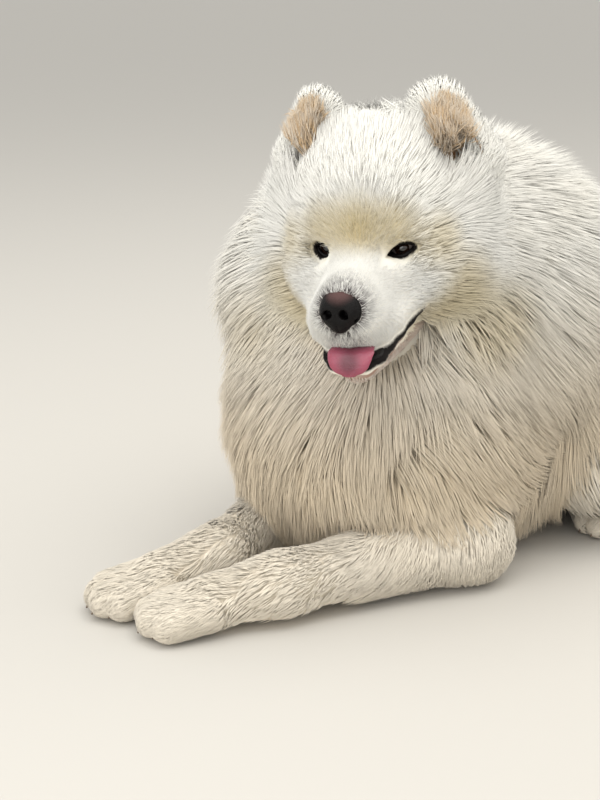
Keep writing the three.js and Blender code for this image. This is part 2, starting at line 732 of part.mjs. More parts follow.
const torsoShape = (grow) => withLocks(solidFrom(wrap(torsoFlesh, torsoAxis, {
  rings: 9, sides: 18, caps: 4, share: CORE, grow,
})), backLocks, grow);
addNode("torso", torsoShape, WHITE, 0.9);

for (const [word, leg] of Object.entries(FORELEGS)) {
  const middle = v3(leg.elbow).lerp(v3(leg.wrist), 0.5).toArray();
  addNode(`foreleg_${word}`, (grow) => solidFrom(wrap(forelegFlesh(leg), [leg.elbow, middle, leg.wrist], {
    rings: 7, sides: 12, caps: 3, share: 0.9, grow, reach: 140,
  })), CREAM, 0.9);
}

for (const [i, word] of ["left", "right"].entries()) {
  const side = [leftSide, acrossBody][i];
  addNode(`thigh_${word}`, (grow) => withLocks(solidFrom(wrap(thighs[i], thighAxis.map(side), {
    rings: 6, sides: 14, caps: 4, share: CORE, grow, reach: 200,
  })), thighLocks[i], grow), WHITE, 0.9);
  addNode(`hindleg_${word}`, (grow) => solidFrom(wrap(
    shankFlesh(side),
    [[162, 376, 46], [160, 310, 38], [158, 244, 34]].map(side),
    { rings: 6, sides: 12, caps: 3, share: 0.9, grow, reach: 120 },
  )), CREAM, 0.9);
}

const feet = Object.entries(FORELEGS).map(([word, leg]) => [`fore_${word}`, leg]);
for (const [word, side] of [["left", leftSide], ["right", acrossBody]]) {
  const foot = HINDLEG.foot;
  feet.push([`hind_${word}`, {
    wrist: side(foot), knuckle: side([foot[0], foot[1] - 16, 25]), toes: side(HINDLEG.toes),
  }]);
}
for (const [word, foot] of feet) {
  const { run } = pawFrame(foot);
  const heel = v3(foot.knuckle).addScaledVector(run, -12).toArray();
  const front = v3(foot.toes).addScaledVector(run, -22).setZ(20).toArray();
  addNode(`paw_${word}`, (grow) => solidFrom(wrap(pawFlesh(foot), [heel, front], {
    rings: 4, sides: 18, caps: 3, share: 0.9, grow, reach: 80,
  })), CREAM, 0.9);
  TOE_SPREAD.forEach((offset, i) => {
    addNode(`claw_${word}_${i + 1}`, (grow) => clawSolid(foot, i, grow), BLACK, 0.4);
  });
}

Object.entries(TAIL_LENGTHS).forEach(([word, length], i) => {
  const locks = tailLocks(length, i);
  addNode(`tail_${word}`, (grow) => withLocks(solidFrom(wrap(length.flesh, length.path, {
    rings: 5, sides: 10, caps: 3, share: CORE, grow, reach: 120,
  })), locks, grow), WHITE, 0.9);
});

export default dog;
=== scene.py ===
# A samoyed lying on its chest with its forelegs stretched out and its head turned, life size.
# The dog is drawn in millimetres, with zero on the floor between its elbows, and is then set
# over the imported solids, in metres.
import math

import bmesh
import bpy
import numpy as np
from mathutils import Matrix, Vector


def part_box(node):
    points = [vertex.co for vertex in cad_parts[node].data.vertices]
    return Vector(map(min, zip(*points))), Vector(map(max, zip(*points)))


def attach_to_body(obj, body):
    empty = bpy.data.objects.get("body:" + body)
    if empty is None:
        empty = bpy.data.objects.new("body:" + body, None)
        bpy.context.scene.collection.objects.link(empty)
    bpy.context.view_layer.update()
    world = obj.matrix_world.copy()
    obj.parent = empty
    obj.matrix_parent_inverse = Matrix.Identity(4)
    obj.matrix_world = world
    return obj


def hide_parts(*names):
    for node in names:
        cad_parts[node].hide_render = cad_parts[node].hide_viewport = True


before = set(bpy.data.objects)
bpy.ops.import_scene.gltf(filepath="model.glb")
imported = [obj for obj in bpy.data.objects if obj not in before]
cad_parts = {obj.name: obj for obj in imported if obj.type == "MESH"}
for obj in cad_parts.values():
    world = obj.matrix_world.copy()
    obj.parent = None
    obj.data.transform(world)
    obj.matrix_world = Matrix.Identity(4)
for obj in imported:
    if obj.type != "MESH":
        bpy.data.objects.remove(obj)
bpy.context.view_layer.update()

# Where the dog lies
# The head is turned to the dog's left and tipped a little. Its left eye is a ball whose middle
# is known in the dog's own drawing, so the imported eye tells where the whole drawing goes.
MM = 0.001
HEAD_AT = np.array((120.0, -142.0, 359.0))
HEAD_YAW = math.radians(33.5)
HEAD_ROLL = math.radians(-3.0)
EYE_AT = (34.5, 8.5, -1.0)
head_axes = np.array(Matrix.Rotation(HEAD_YAW, 3, "Z") @ Matrix.Rotation(HEAD_ROLL, 3, "Y"))


def from_head(points):
    return np.asarray(points, float) @ head_axes.T + HEAD_AT


def into_head(points):
    return (points - HEAD_AT) @ head_axes


eye_low, eye_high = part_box("eye_left")
dog_shift = np.array((eye_low + eye_high) / 2) / MM - from_head(EYE_AT)


def in_scene(points):
    return (np.asarray(points, float) + dog_shift) * MM


def new_object(name, data):
    made = bpy.data.objects.new(name, data)
    bpy.context.scene.collection.objects.link(made)
    return made


# Camera
# It stands at a crouching person's height off the dog's left shoulder and looks down a little,
# through a long lens, as the photograph does.
LENS = 67.5
FILM_HEIGHT = 36.0
CAMERA_AT = (1140.4, -1077.4, 620.0)
CAMERA_DOWN = 16.5
CAMERA_AZIMUTH = 50.0
camera_data = bpy.data.cameras.new("camera")
camera_data.sensor_fit = "VERTICAL"
camera_data.sensor_height = FILM_HEIGHT
camera_data.lens = LENS
camera = new_object("camera", camera_data)
camera.location = in_scene(CAMERA_AT)
camera.rotation_euler = (math.radians(90 - CAMERA_DOWN), 0, math.radians(CAMERA_AZIMUTH))
bpy.context.scene.camera = camera


# Flesh
# The body is muscle and fat over bone, drawn as balls and tapered bones that melt into one
# another. Each has the depth of the coat that stands on it. A share of 0 is the bare skin and a
# share of 1 is where the tips of the hairs lie.
def ball(at, size, coat=0.0, yaw=0.0):
    at = np.array(at, float)
    size = np.array(size, float)
    depth = np.zeros(3) + coat
    cos, sin = math.cos(math.radians(yaw)), math.sin(math.radians(yaw))

    def distance(points, share):
        away = points - at
        if yaw:
            east = away[:, 0] * cos + away[:, 1] * sin
            north = away[:, 1] * cos - away[:, 0] * sin
            away = np.stack([east, north, away[:, 2]], 1)
        radii = size + np.multiply.outer(share, depth)
        scaled = away / radii
        near = np.sqrt((scaled * scaled).sum(1))
        steep = np.sqrt(((scaled / radii) ** 2).sum(1))
        return near * (near - 1) / np.maximum(steep, 1e-6)
    spread = (size + depth).max() if yaw else size + depth
    distance.reach = (at - spread, at + spread)
    return distance


def bone(start, end, thick_start, thick_end, coat_start=0.0, coat_end=None):
    start = np.array(start, float)
    run = np.array(end, float) - start
    square = run @ run
    coat_end = coat_start if coat_end is None else coat_end

    def distance(points, share):
        away = points - start
        along = np.clip(away @ run / square, 0, 1)
        rest = np.sqrt(((away - along[:, None] * run) ** 2).sum(1))
        thick = thick_start + (thick_end - thick_start) * along
        return rest - thick - (coat_start + (coat_end - coat_start) * along) * share
    spread = max(thick_start + coat_start, thick_end + coat_end)
    ends = np.stack([start, start + run])
    distance.reach = (ends.min(0) - spread, ends.max(0) + spread)
    return distance


def joined(first, second, melt):
    blend = np.maximum(melt - np.abs(first - second), 0) / melt
    return np.minimum(first, second) - blend * blend * melt * 0.25


def melted(forms, melt):
    def field(points, share=0.0):
        best = forms[0](points, share)
        for form in forms[1:]:
            best = joined(best, form(points, share), melt)
        return best
    reaches = [form.reach for form in forms]
    field.reach = (np.min([low for low, _ in reaches], 0), np.max([high for _, high in reaches], 0))
    return field


# Far from a form only the way to its box counts, which saves most of the work
NEAR = 45.0


def boxed(field, reach=None):
    low, high = field.reach if reach is None else reach
    low, high = low - NEAR, high + NEAR

    def near_only(points, share=0.0):
        away = np.maximum(np.maximum(low - points, points - high), 0)
        result = np.sqrt((away * away).sum(1)) + NEAR
        inside = (away == 0).all(1)
        if inside.any():
            here = share[inside] if isinstance(share, np.ndarray) else share
            result[inside] = field(points[inside], here)
        return result
    near_only.reach = (low + NEAR, high - NEAR)
    return near_only


SIDES = {"left": 1, "right": -1}


def both(place):
    return [place, (-place[0], place[1], place[2])]


MIDLINE = 20.0


def across_body(place):
    return (2 * MIDLINE - place[0], place[1], place[2])


skull = melted([
    ball((0, 74, 28), (64, 78, 64), 30),
    ball((0, 20, 12), (50, 40, 36), 12),
    *[ball(at, (20, 16, 12), 6) for at in both((25, 1, 16))],
    *[ball(at, (36, 48, 38), 18) for at in both((40, 44, -20))],
    *[ball(at, (20, 34, 26), 7) for at in both((34, 10, -38))],
    bone((0, 10, -30), (0, -66, -44), 37, 27, 3),
    *[ball(at, (17, 30, 16), 3) for at in both((17, -56, -53))],
    bone((0, 0, -10), (0, -78, -31), 18, 13, 2),
], 22)

# The lips are soft rolls along the edges of the mouth, given from the left corner to the front.
# The panting lower jaw swings a little to the left, so its right lip is tucked in.
UPPER_LIP = ((51, 1, -34), (49, -8, -39.5), (44, -21, -47.5), (37, -45, -60), (28, -60, -67.5),
             (16, -69, -71), (0, -72, -72))
LOWER_LIP = ((51, 1, -45), (47, -9, -53), (42, -22, -62), (36, -38, -71.5), (30, -56, -81),
             (26, -70, -88), (16, -79, -93), (0, -82, -94.5))
UPPER_ROLL = 5.5
LOWER_ROLL = 6.0
TUCKED = 0.38


def lip_line(line, side, tucked=0.0):
    line = np.array(line, float)
    if side < 0:
        line[:, 0] *= -1 + tucked * np.clip((-5 - line[:, 1]) / 30, 0, 1)
    return line


def lip_rolls(line, thick, coat, tucked=0.0):
    rolls = []
    for side in (1, -1):
        path = lip_line(line, side, tucked)
        rolls += [bone(start, end, thick, thick, coat) for start, end in zip(path, path[1:])]
    return rolls


upper_lips = boxed(melted(lip_rolls(UPPER_LIP, UPPER_ROLL, 4), 4))
jaw_flesh = melted([
    bone((0, 44, -84), (3, -54, -95), 30, 17, 5),
    bone((30, 36, -76), (12, -52, -89), 14, 9, 4),
    bone((-30, 36, -76), (-12, -52, -89), 14, 9, 4),
    boxed(melted(lip_rolls(LOWER_LIP, LOWER_ROLL, 4, TUCKED), 4)),
], 10)

# The eyes are almond openings between the lids, slanted up outwards
EYE_BALL = 12.0
EYE_LID = 14.2
EYE_HALF = {1: 13.2, -1: 10.8}
EYE_OPEN = {1: 5.9, -1: 6.5}
EYE_SLANT = 15.0
EYE_OUTWARD = {1: 6.0, -1: 8.0}
LID_MELT = 4


def eye_frame(side):
    slant = Matrix.Rotation(math.radians(-EYE_SLANT * side), 3, "Y")
    return np.array(Matrix.Rotation(math.radians(EYE_OUTWARD[side] * side), 3, "Z") @ slant)


def eye_middle(side):
    return np.array((EYE_AT[0] * side, EYE_AT[1], EYE_AT[2]))


def into_eye(local, side):
    return (local - eye_middle(side)) @ eye_frame(side)


def eye_distance(local, side):
    return local - eye_middle(side) - eye_frame(side) @ np.array((0.0, -EYE_LID, 0.0))


def smooth(values, start, end):
    t = np.clip((values - start) / (end - start), 0, 1)
    return t * t * (3 - 2 * t)


# The nose pad sits in a hollow of the muzzle, and the nostrils run back through it
nose_pad = melted([
    ball((-1, -85, -33), (16.5, 14, 12)),
    *[ball((at[0] - 1, *at[1:]), (10.5, 13, 11.5)) for at in both((9.5, -88, -42))],
    ball((-2, -91, -52), (9, 8, 9)),
], 8)
NOSE_LINE = -3.5
nostrils = melted([
    bone((start[0] * side + NOSE_LINE, *start[1:]), (end[0] * side + NOSE_LINE, *end[1:]), *thick)
    for side in (1, -1)
    for start, end, *thick in (
        ((6, -108, -42), (8, -93, -42), 3.4, 3.8),
        ((8, -98, -43), (15, -94, -46.5), 3.2, 2.4),
        ((15, -94, -46.5), (22, -95, -49), 2.2, 1.1),
    )
], 2)
groove = melted([
    bone((NOSE_LINE, -102, -38), (NOSE_LINE, -101, -50), 0.8, 1.3),
    bone((NOSE_LINE, -101, -50), (NOSE_LINE + 1.5, -96, -62), 1.3, 1.5),
], 1)

# The mouth is open below a plane that slopes from its corners to the lower lip
MOUTH_CORNER = (0.0, -6.0, -52.0)
MOUTH_LIP = (0.0, -90.0, -92.0)
LIP_THICK = 1.0
mouth_slope = math.atan2(MOUTH_CORNER[2] - MOUTH_LIP[2], MOUTH_CORNER[1] - MOUTH_LIP[1])


def above_mouth(local):
    rise = local[:, 2] - MOUTH_CORNER[2]
    ahead = local[:, 1] - MOUTH_CORNER[1]
    return rise * math.cos(mouth_slope) - ahead * math.sin(mouth_slope)


skull_and_lips = melted([skull, upper_lips], 12)


# A box drawn in the head's own directions, as the upright box that holds it
def head_box(across, along, up):
    corners = from_head([(x, y, z) for x in across for y in along for z in up])
    return corners.min(0), corners.max(0)


def head_reach(field):
    return head_box(*zip(*field.reach))


def head_flesh(points, share=0.0):
    local = into_head(points)
    best = skull_and_lips(local, share)
    for side in (1, -1):
        eye = into_eye(local, side)
        best = joined(best, np.sqrt((eye * eye).sum(1)) - EYE_LID, LID_MELT)
        half_open = EYE_OPEN[side] * (1 - (eye[:, 0] / EYE_HALF[side]) ** 2)
        best = np.maximum(best, -np.maximum(np.abs(eye[:, 2]) - half_open, eye[:, 1]))
    best = np.maximum(best, -nose_pad(local, 0.0) - 2)
    return np.maximum(best, 0.8 - nostrils(local, 0.0))


def lower_jaw(points, share=0.0):
    local = into_head(points)
    gape = np.minimum(above_mouth(local) + LIP_THICK, MOUTH_CORNER[1] - local[:, 1])
    return np.maximum(jaw_flesh(local, share), gape)


head_flesh.reach = head_reach(skull)
lower_jaw.reach = head_reach(jaw_flesh)


# The ears stand up, are thick and rounded, and have a cup in front
EAR_BASE = (67.0, 72.0, 76.0)
EAR_TIP = (53.0, 66.0, 125.0)
RIGHT_EAR_IN = 4.0
EAR_WIDE = 42.0
EAR_NARROW = 21.0
EAR_FLAT = 0.36
EAR_TRIM = {1: 8.0, -1: 12.0}
CUP_IN = 7.0
CUP_FLAT = 0.42
CUP_ASIDE = -4.0
CUP_FORWARD = 10.5
FLATTENED = 1.3
EAR_PLUSH = 4
EAR_PITCH = math.radians(8)
EAR_TURN = math.radians(22)
ear_lean = math.atan2(EAR_TIP[0] - EAR_BASE[0], EAR_TIP[2] - EAR_BASE[2])
ear_height = math.hypot(EAR_TIP[0] - EAR_BASE[0], EAR_TIP[2] - EAR_BASE[2])


def ear_axes(side):
    turn = Matrix.Rotation(EAR_TURN * side, 3, "Z") @ Matrix.Rotation(ear_lean * side, 3, "Y")
    return np.array(turn @ Matrix.Rotation(EAR_PITCH, 3, "X"))


def into_ear(local, side):
    base_x = EAR_BASE[0] if side > 0 else RIGHT_EAR_IN - EAR_BASE[0]
    return (local - np.array((base_x, EAR_BASE[1], EAR_BASE[2]))) @ ear_axes(side)


# The way to the hollow of the cup, which is less than nothing inside it
def cup_depth(spot, side):
    top = ear_height - EAR_TRIM[side] - 3
    hollow = bone((0, 0, 0), (0, 0, top), EAR_WIDE - CUP_IN * 2, EAR_NARROW - CUP_IN)
    return hollow((spot + (CUP_ASIDE * side, CUP_FORWARD, 0)) / (1, CUP_FLAT, 1), 0)


def ear_shell(side):
    cone = bone((0, 0, -10), (0, 0, ear_height - EAR_TRIM[side]), EAR_WIDE, EAR_NARROW)

    def field(points, share=0.0):
        spot = into_ear(into_head(points), side)
        outer = cone(spot / (1, EAR_FLAT, 1), 0) * EAR_FLAT * FLATTENED
        inner = cup_depth(spot, side) * CUP_FLAT * FLATTENED
        return np.maximum(outer, -inner) - share * EAR_PLUSH
    return field


neck_flesh = melted([
    ball((41, -73, 284), (78, 56, 86), (82, 28, 70), 33.5),
    bone((24, 74, 266), (58, -40, 356), 86, 60, 100, 50),
    ball((16, -52, 146), (78, 84, 92), (70, 58, 56)),
], 40)

torso_flesh = melted([
    ball((MIDLINE, 62, 158), (104, 160, 144), (50, 40, 50)),
    ball((MIDLINE - 84, -20, 138), (44, 66, 82), 42),
    ball((MIDLINE + 84, -20, 138), (44, 66, 82), 42),
    ball((MIDLINE, 100, 250), (70, 140, 94), (60, 65, 104)),
    ball((MIDLINE, 250, 172), (98, 156, 124), (56, 56, 66)),
    ball((MIDLINE, 345, 140), (104, 112, 118), 50),
], 44)

FORELEGS = {
    "left": dict(elbow=(150, -20, 45), wrist=(98, -226, 33),
                 knuckle=(72, -298, 25), toes=(44, -350, 20)),
    "right": dict(elbow=(-92, -6, 45), wrist=(0, -228, 33),
                  knuckle=(-6, -302, 25), toes=(-22, -362, 20)),
}


def foreleg_flesh(leg):
    elbow = leg["elbow"]
    shoulder = (elbow[0] * 0.6 + MIDLINE * 0.4, elbow[1] - 10, 120)
    return melted([
        bone(shoulder, elbow, 44, 33, 16, 12),
        bone(elbow, leg["wrist"], 32, 23, 13, 8),
        bone(leg["wrist"], leg["knuckle"], 22, 18, 8, 7),
    ], 24)


HIP, KNEE, CALF = (86, 335, 150), (150, 196, 104), (160, 330, 62)
HOCK, HIND_FOOT, HIND_TOES = (164, 395, 38), (158, 240, 30), (156, 168, 20)


def thigh_flesh(side):
    return melted([
        bone(side(HIP), side(KNEE), 80, 50, 40),
        ball(side((122, 300, 118)), (58, 102, 88), 40),
    ], 40)


def shank_flesh(side):
    return melted([
        bone(side(CALF), side(HOCK), 34, 24, 20, 14),
        bone(side(HOCK), side(HIND_FOOT), 24, 22, 12, 10),
    ], 16)


TOE_SPREAD = (-24, -8.5, 8.5, 24)
TOE_REACH = (-12, 0, 0, -12)
TOE_TIP_HEIGHT = 17


def paw_run(foot):
    run = np.array(foot["toes"], float) - foot["knuckle"]
    run[2] = 0
    return run / np.linalg.norm(run)


def paw_across(foot):
    run = paw_run(foot)
    return np.array((-run[1], run[0], 0))


def paw_flesh(foot):
    run, across = paw_run(foot), paw_across(foot)
    digits = []
    for offset, reach in zip(TOE_SPREAD, TOE_REACH):
        start = np.array(foot["knuckle"]) + across * offset * 0.62
        end = np.array(foot["toes"]) + across * offset + run * (reach - 8)
        end[2] = TOE_TIP_HEIGHT
        digits.append(bone(start, end, 14, 10.8, 6.5))
    return melted([bone(foot["wrist"], foot["knuckle"], 21, 18, 7), *digits], 2.5)


def same_side(place):
    return place


feet = {f"fore_{word}": leg for word, leg in FORELEGS.items()}
for word, side in (("left", same_side), ("right", across_body)):
    feet[f"hind_{word}"] = dict(wrist=side(HIND_FOOT), toes=side(HIND_TOES),
                                knuckle=side((HIND_FOOT[0], HIND_FOOT[1] - 16, 25)))

TAIL_PATH = np.array([
    (20, 420, 205), (0, 490, 150), (-50, 545, 84), (-128, 548, 60),
    (-196, 500, 56), (-232, 420, 52), (-240, 335, 46),
], float)
TAIL_THICK = (34, 27, 22, 19, 17, 15, 11)
TAIL_COAT = 46
tail_flesh = melted([
    bone(TAIL_PATH[i], TAIL_PATH[i + 1], TAIL_THICK[i], TAIL_THICK[i + 1], TAIL_COAT)
    for i in range(len(TAIL_PATH) - 1)
], 20)

ear_reach = head_box((-100, 100), (30, 110), (40, 170))
regions = {
    "head": boxed(head_flesh),
    "jaw": boxed(lower_jaw),
    "ear_left": boxed(ear_shell(1), ear_reach),
    "ear_right": boxed(ear_shell(-1), ear_reach),
    "neck": neck_flesh,
    "torso": torso_flesh,
    "thigh_left": boxed(thigh_flesh(same_side)),
    "thigh_right": boxed(thigh_flesh(across_body)),
    "hindleg_left": boxed(shank_flesh(same_side)),
    "hindleg_right": boxed(shank_flesh(across_body)),
    "foreleg_left": boxed(foreleg_flesh(FORELEGS["left"])),
    "foreleg_right": boxed(foreleg_flesh(FORELEGS["right"])),
    "tail": boxed(tail_flesh),
    **{f"paw_{word}": boxed(paw_flesh(foot)) for word, foot in feet.items()},
}
region_names = list(regions)

# Skin
# One hide covers the whole dog without a seam. It lies where the woolly undercoat is thick
# enough to hide the bare skin, so the hairs of the outer coat rise out of it.
UNDERCOAT = 0.42
FLOOR_GAP = 1.0
JOIN_MELT = {"jaw": 10, "ear": 26, "neck": 10, "torso": 30, "thigh": 34, "hindleg": 16,
             "foreleg": 16, "tail": 26, "paw": 10}
HEAD_STEP, BODY_STEP = ((2.2, 6.0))
HEAD_REACH = ((0, 205), (-240, 12), (235, 512))
BODY_REACH = ((-310, 240), (-392, 616), (-4, 516))
BLOCK = 8


# There is no wool on the lids and beside the nose, so the skin sinks to the flesh there
def wool(points):
    local = into_head(points)
    share = smooth(nose_pad(local, 0.0), 1, 12)
    for side in (1, -1):
        away = np.sqrt((eye_distance(local, side) ** 2).sum(1))
        share = share * smooth(away, 11, 26)
    return UNDERCOAT * share


def whole_body(points):
    best = regions["head"](points, wool(points))
    for name in region_names[1:]:
        best = joined(best, regions[name](points, UNDERCOAT), JOIN_MELT[name.split("_")[0]])
    return np.maximum(best, FLOOR_GAP - points[:, 2])


def graded(whole, fine, coarse_step, fine_step):
    return np.concatenate([
        np.arange(whole[0], fine[0], coarse_step),
        np.arange(fine[0], fine[1], fine_step),
        np.arange(fine[1], whole[1] + coarse_step, coarse_step),
    ])


def in_chunks(field, points, size=150000):
    return np.concatenate([field(points[i:i + size]) for i in range(0, len(points), size)])


# The field is read in full only in the blocks of the grid that the surface may cross
def field_on_grid(field, lines):
    counts = [len(line) for line in lines]
    starts = [np.arange(0, count - 1, BLOCK) for count in counts]
    spans = [[line[np.minimum(start + k, len(line) - 1)] for k in (0, BLOCK)]
             for line, start in zip(lines, starts)]
    middles = [(low + high) / 2 for low, high in spans]
    halves = [(high - low) / 2 for low, high in spans]
    centres = np.stack(np.meshgrid(*middles, indexing="ij"), -1)
    sizes = np.stack(np.meshgrid(*halves, indexing="ij"), -1)
    rough = in_chunks(field, centres.reshape(-1, 3)).reshape(centres.shape[:3])
    near = np.abs(rough) < np.linalg.norm(sizes, axis=-1) * 1.5 + 4
    values = np.repeat(np.repeat(np.repeat(rough, BLOCK, 0), BLOCK, 1), BLOCK, 2)
    values = np.pad(values, [(0, 1)] * 3, mode="edge")[:counts[0], :counts[1], :counts[2]].copy()
    blocks = np.argwhere(near) * BLOCK
    steps = np.arange(BLOCK + 1)
    index = [np.minimum(blocks[:, axis, None] + steps, counts[axis] - 1) for axis in range(3)]
    cross = np.broadcast_arrays(index[0][:, :, None, None], index[1][:, None, :, None],
                                index[2][:, None, None, :])
    points = np.stack([line[spot].ravel() for line, spot in zip(lines, cross)], 1)
    values[tuple(cross)] = in_chunks(field, points).reshape(cross[0].shape)
    return values


# One point in each cell that the surface crosses, and a face across each edge that it crosses
def surface_net(field, lines):
    values = field_on_grid(field, lines)
    inside = values < 0
    corners = [(i, j, k) for i in (0, 1) for j in (0, 1) for k in (0, 1)]
    cells = [n - 1 for n in values.shape]

    def shifted(array, corner):
        return array[tuple(slice(c, c + n) for c, n in zip(corner, cells))]

    filled = sum(shifted(inside, corner).astype(np.int8) for corner in corners)
    spots = np.argwhere((filled > 0) & (filled < 8))
    number = np.full(cells, -1, np.int64)
    number[tuple(spots.T)] = np.arange(len(spots))
    total = np.zeros((len(spots), 3))
    hits = np.zeros(len(spots))
    for corner in corners:
        for axis in range(3):
            if corner[axis]:
                continue
            other = tuple(c + (a == axis) for a, c in enumerate(corner))
            here, there = spots + corner, spots + other
            low, high = values[tuple(here.T)], values[tuple(there.T)]
            crossed = (low < 0) != (high < 0)
            part = np.where(crossed, low / np.where(crossed, low - high, 1), 0)
            start = np.stack([lines[a][here[:, a]] for a in range(3)], 1)
            end = np.stack([lines[a][there[:, a]] for a in range(3)], 1)
            total += np.where(crossed[:, None], start + (end - start) * part[:, None], 0)
            hits += crossed
    points = total / hits[:, None]
    quads = []
    for axis in range(3):
        one, two = (axis + 1) % 3, (axis + 2) % 3
        edge = [slice(None)] * 3
        edge[axis] = slice(0, -1)
        ahead = [slice(None)] * 3
        ahead[axis] = slice(1, None)
        first, second = inside[tuple(edge)], inside[tuple(ahead)]
        at = np.argwhere(first != second)
        inner = (at[:, one] > 0) & (at[:, two] > 0)
        inner &= (at[:, one] < cells[one]) & (at[:, two] < cells[two])
        at = at[inner]
        step_one, step_two = np.eye(3, dtype=int)[one], np.eye(3, dtype=int)[two]
        round_edge = [at - step_one - step_two, at - step_two, at, at - step_one]
        quad = np.stack([number[tuple(spot.T)] for spot in round_edge], 1)
        flip = ~first[tuple(at.T)]
        quad[flip] = quad[flip][:, ::-1]
        quads.append(quad)
    return points, np.concatenate(quads)


PROBES = np.array([(1, 1, 1), (1, -1, -1), (-1, 1, -1), (-1, -1, 1)], float)


def outward(field, points, share, step=1.2):
    slope = sum(probe * field(points + probe * step, share)[:, None] for probe in PROBES)
    return slope / np.maximum(np.linalg.norm(slope, axis=1), 1e-9)[:, None]


def settled(field, points, share=0.0, times=2):
    for _ in range(times):
        value = field(points, share)
        points = points - outward(field, points, share) * value[:, None]
    return points


def mesh_object(name, points, faces):
    mesh = bpy.data.meshes.new(name)
    sides = faces.shape[1]
    mesh.vertices.add(len(points))
    mesh.vertices.foreach_set("co", in_scene(points).astype(np.float32).ravel())
    mesh.loops.add(faces.size)
    mesh.loops.foreach_set("vertex_index", faces.astype(np.int32).ravel())
    mesh.polygons.add(len(faces))
    mesh.polygons.foreach_set("loop_start", np.arange(0, faces.size, sides, dtype=np.int32))
    mesh.update(calc_edges=True)
    mesh.shade_smooth()
    return new_object(name, mesh)


def paint(piece, **layers):
    for label, values in layers.items():
        layer = piece.data.attributes.new(label, "FLOAT", "POINT")
        layer.data.foreach_set("value", values.astype(np.float32))


def net_object(name, field, box, step):
    lines = [np.arange(low, high, step) for low, high in zip(*box)]
    return mesh_object(name, *surface_net(field, lines))


def attach(piece, material, slot, *nodes):
    piece.data.materials.append(material)
    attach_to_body(piece, "root")
    if nodes:
        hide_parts(*nodes)


def linear(code):
    channels = [int(code[i:i + 2], 16) / 255 for i in (1, 3, 5)]
    return (*[c / 12.92 if c <= 0.04045 else ((c + 0.055) / 1.055) ** 2.4 for c in channels], 1.0)


def add(tree, kind, inputs=None, **settings):
    node = tree.nodes.new(kind)
    for name, value in settings.items():
        setattr(node, name, value)
    for name, value in (inputs or {}).items():
        if isinstance(value, bpy.types.NodeSocket):
            tree.links.new(value, node.inputs[name])
        else:
            node.inputs[name].default_value = value
    return node


def new_material(name, surface):
    material = bpy.data.materials.new(name)
    material.use_nodes = True
    tree = material.node_tree
    tree.nodes.clear()
    shader = tree.nodes.new("ShaderNodeBsdfPrincipled")
    output = tree.nodes.new("ShaderNodeOutputMaterial")
    tree.links.new(shader.outputs[0], output.inputs["Surface"])
    for socket, value in surface.items():
        shader.inputs[socket].default_value = value
    return material, tree, shader


def place_in(tree):
    return add(tree, "ShaderNodeTexCoord").outputs["Object"]


def painted(tree, name):
    return add(tree, "ShaderNodeAttribute", attribute_name=name).outputs["Fac"]


def noise(tree, place, scale, detail):
    return add(tree, "ShaderNodeTexNoise", {
        "Vector": place, "Scale": scale, "Detail": detail,
    }).outputs[0]


# A value that runs through one span is turned into a result that runs through another
def ranged(tree, value, span, result, **settings):
    return add(tree, "ShaderNodeMapRange", {
        "Value": value, "From Min": span[0], "From Max": span[1],
        "To Min": result[0], "To Max": result[1],
    }, **settings).outputs["Result"]


# Undyed hair of a white dog: milk white, with cream above and behind the eyes and on the
# cheeks, and a sandy tinge low on the chest and on the legs. The cream is darkened to serve also
# as painted shade under the brow, where it is strongest between and over the eyes.
WHITE_HAIR = "#F5F4EE"
CREAM_AND_SHADE_HAIR = "#CDBD93"
SAND_HAIR = "#DEC7A2"
SAND_HEIGHTS = (0.36, 0.1)
# Where the cream lies on the head, in full and to where it ends, and how strong it is. The first
# marks, between and over the eyes, are partly painted shade under the brow.
CREAM_AND_SHADE_MARKS = [
    ((0, -20, 22), 6, 44, 0.95),
    *[(at, 8, 38, 0.9) for at in both((30, -8, 22))],
    *[(at, 12, 42, 0.7) for at in both((60, 14, 4))],
    *[(at, 16, 56, 0.75) for at in both((76, 40, -44))],
    *[(at, 10, 44, 0.6) for at in both((60, 8, -72))],
    *[(at, 14, 70, 0.65) for at in both((110, 70, -90))],
]


def nearness(tree, place, at, full, none):
    away = add(tree, "ShaderNodeVectorMath", {0: place, 1: Vector(at)}, operation="DISTANCE")
    return ranged(tree, away.outputs["Value"], (full * MM, none * MM), (1.0, 0.0),
                  interpolation_type="SMOOTHSTEP")


def blended(tree, factor, first, second, blend_type="MIX"):
    node = add(tree, "ShaderNodeMix", {"Factor": factor}, data_type="RGBA", blend_type=blend_type)
    for index, value in ((6, first), (7, second)):
        if isinstance(value, bpy.types.NodeSocket):
            tree.links.new(value, node.inputs[index])
        else:
            node.inputs[index].default_value = value
    return node.outputs[2]


def scaled(tree, value, factor, **settings):
    return add(tree, "ShaderNodeMath", {0: value, 1: factor}, operation="MULTIPLY",
               **settings).outputs[0]


def coat_colour(tree, sandy, creamy):
    place = place_in(tree)
    drift = noise(tree, place, 14.0, 3.0)
    colour = blended(tree, scaled(tree, drift, creamy), linear(WHITE_HAIR), linear(CREAM_AND_SHADE_HAIR))
    # Cream on the head, which is partly painted shade under the brow between and over the eyes
    for at, full, none, strength in CREAM_AND_SHADE_MARKS:
        mark = nearness(tree, place, in_scene(from_head(at)), full, none)
        colour = blended(tree, scaled(tree, mark, strength), colour, linear(CREAM_AND_SHADE_HAIR))
    height = add(tree, "ShaderNodeSeparateXYZ", {0: place}).outputs["Z"]
    low = ranged(tree, height, SAND_HEIGHTS, (0.0, sandy), interpolation_type="SMOOTHSTEP")
    return blended(tree, low, colour, linear(SAND_HAIR))


# Hide under the wool: it takes the coat's colours, and is bare and black at the lips and lids,
# brown in the ears' cups, pinkish along the lower jaw, and dark between the sparse hairs round
# the nose
BARE_SKIN = "#120E0D"
CUP_SKIN = "#A8835C"
JAW_SKIN = "#A78A7D"
STUBBLE_SKIN = "#3A2E33"


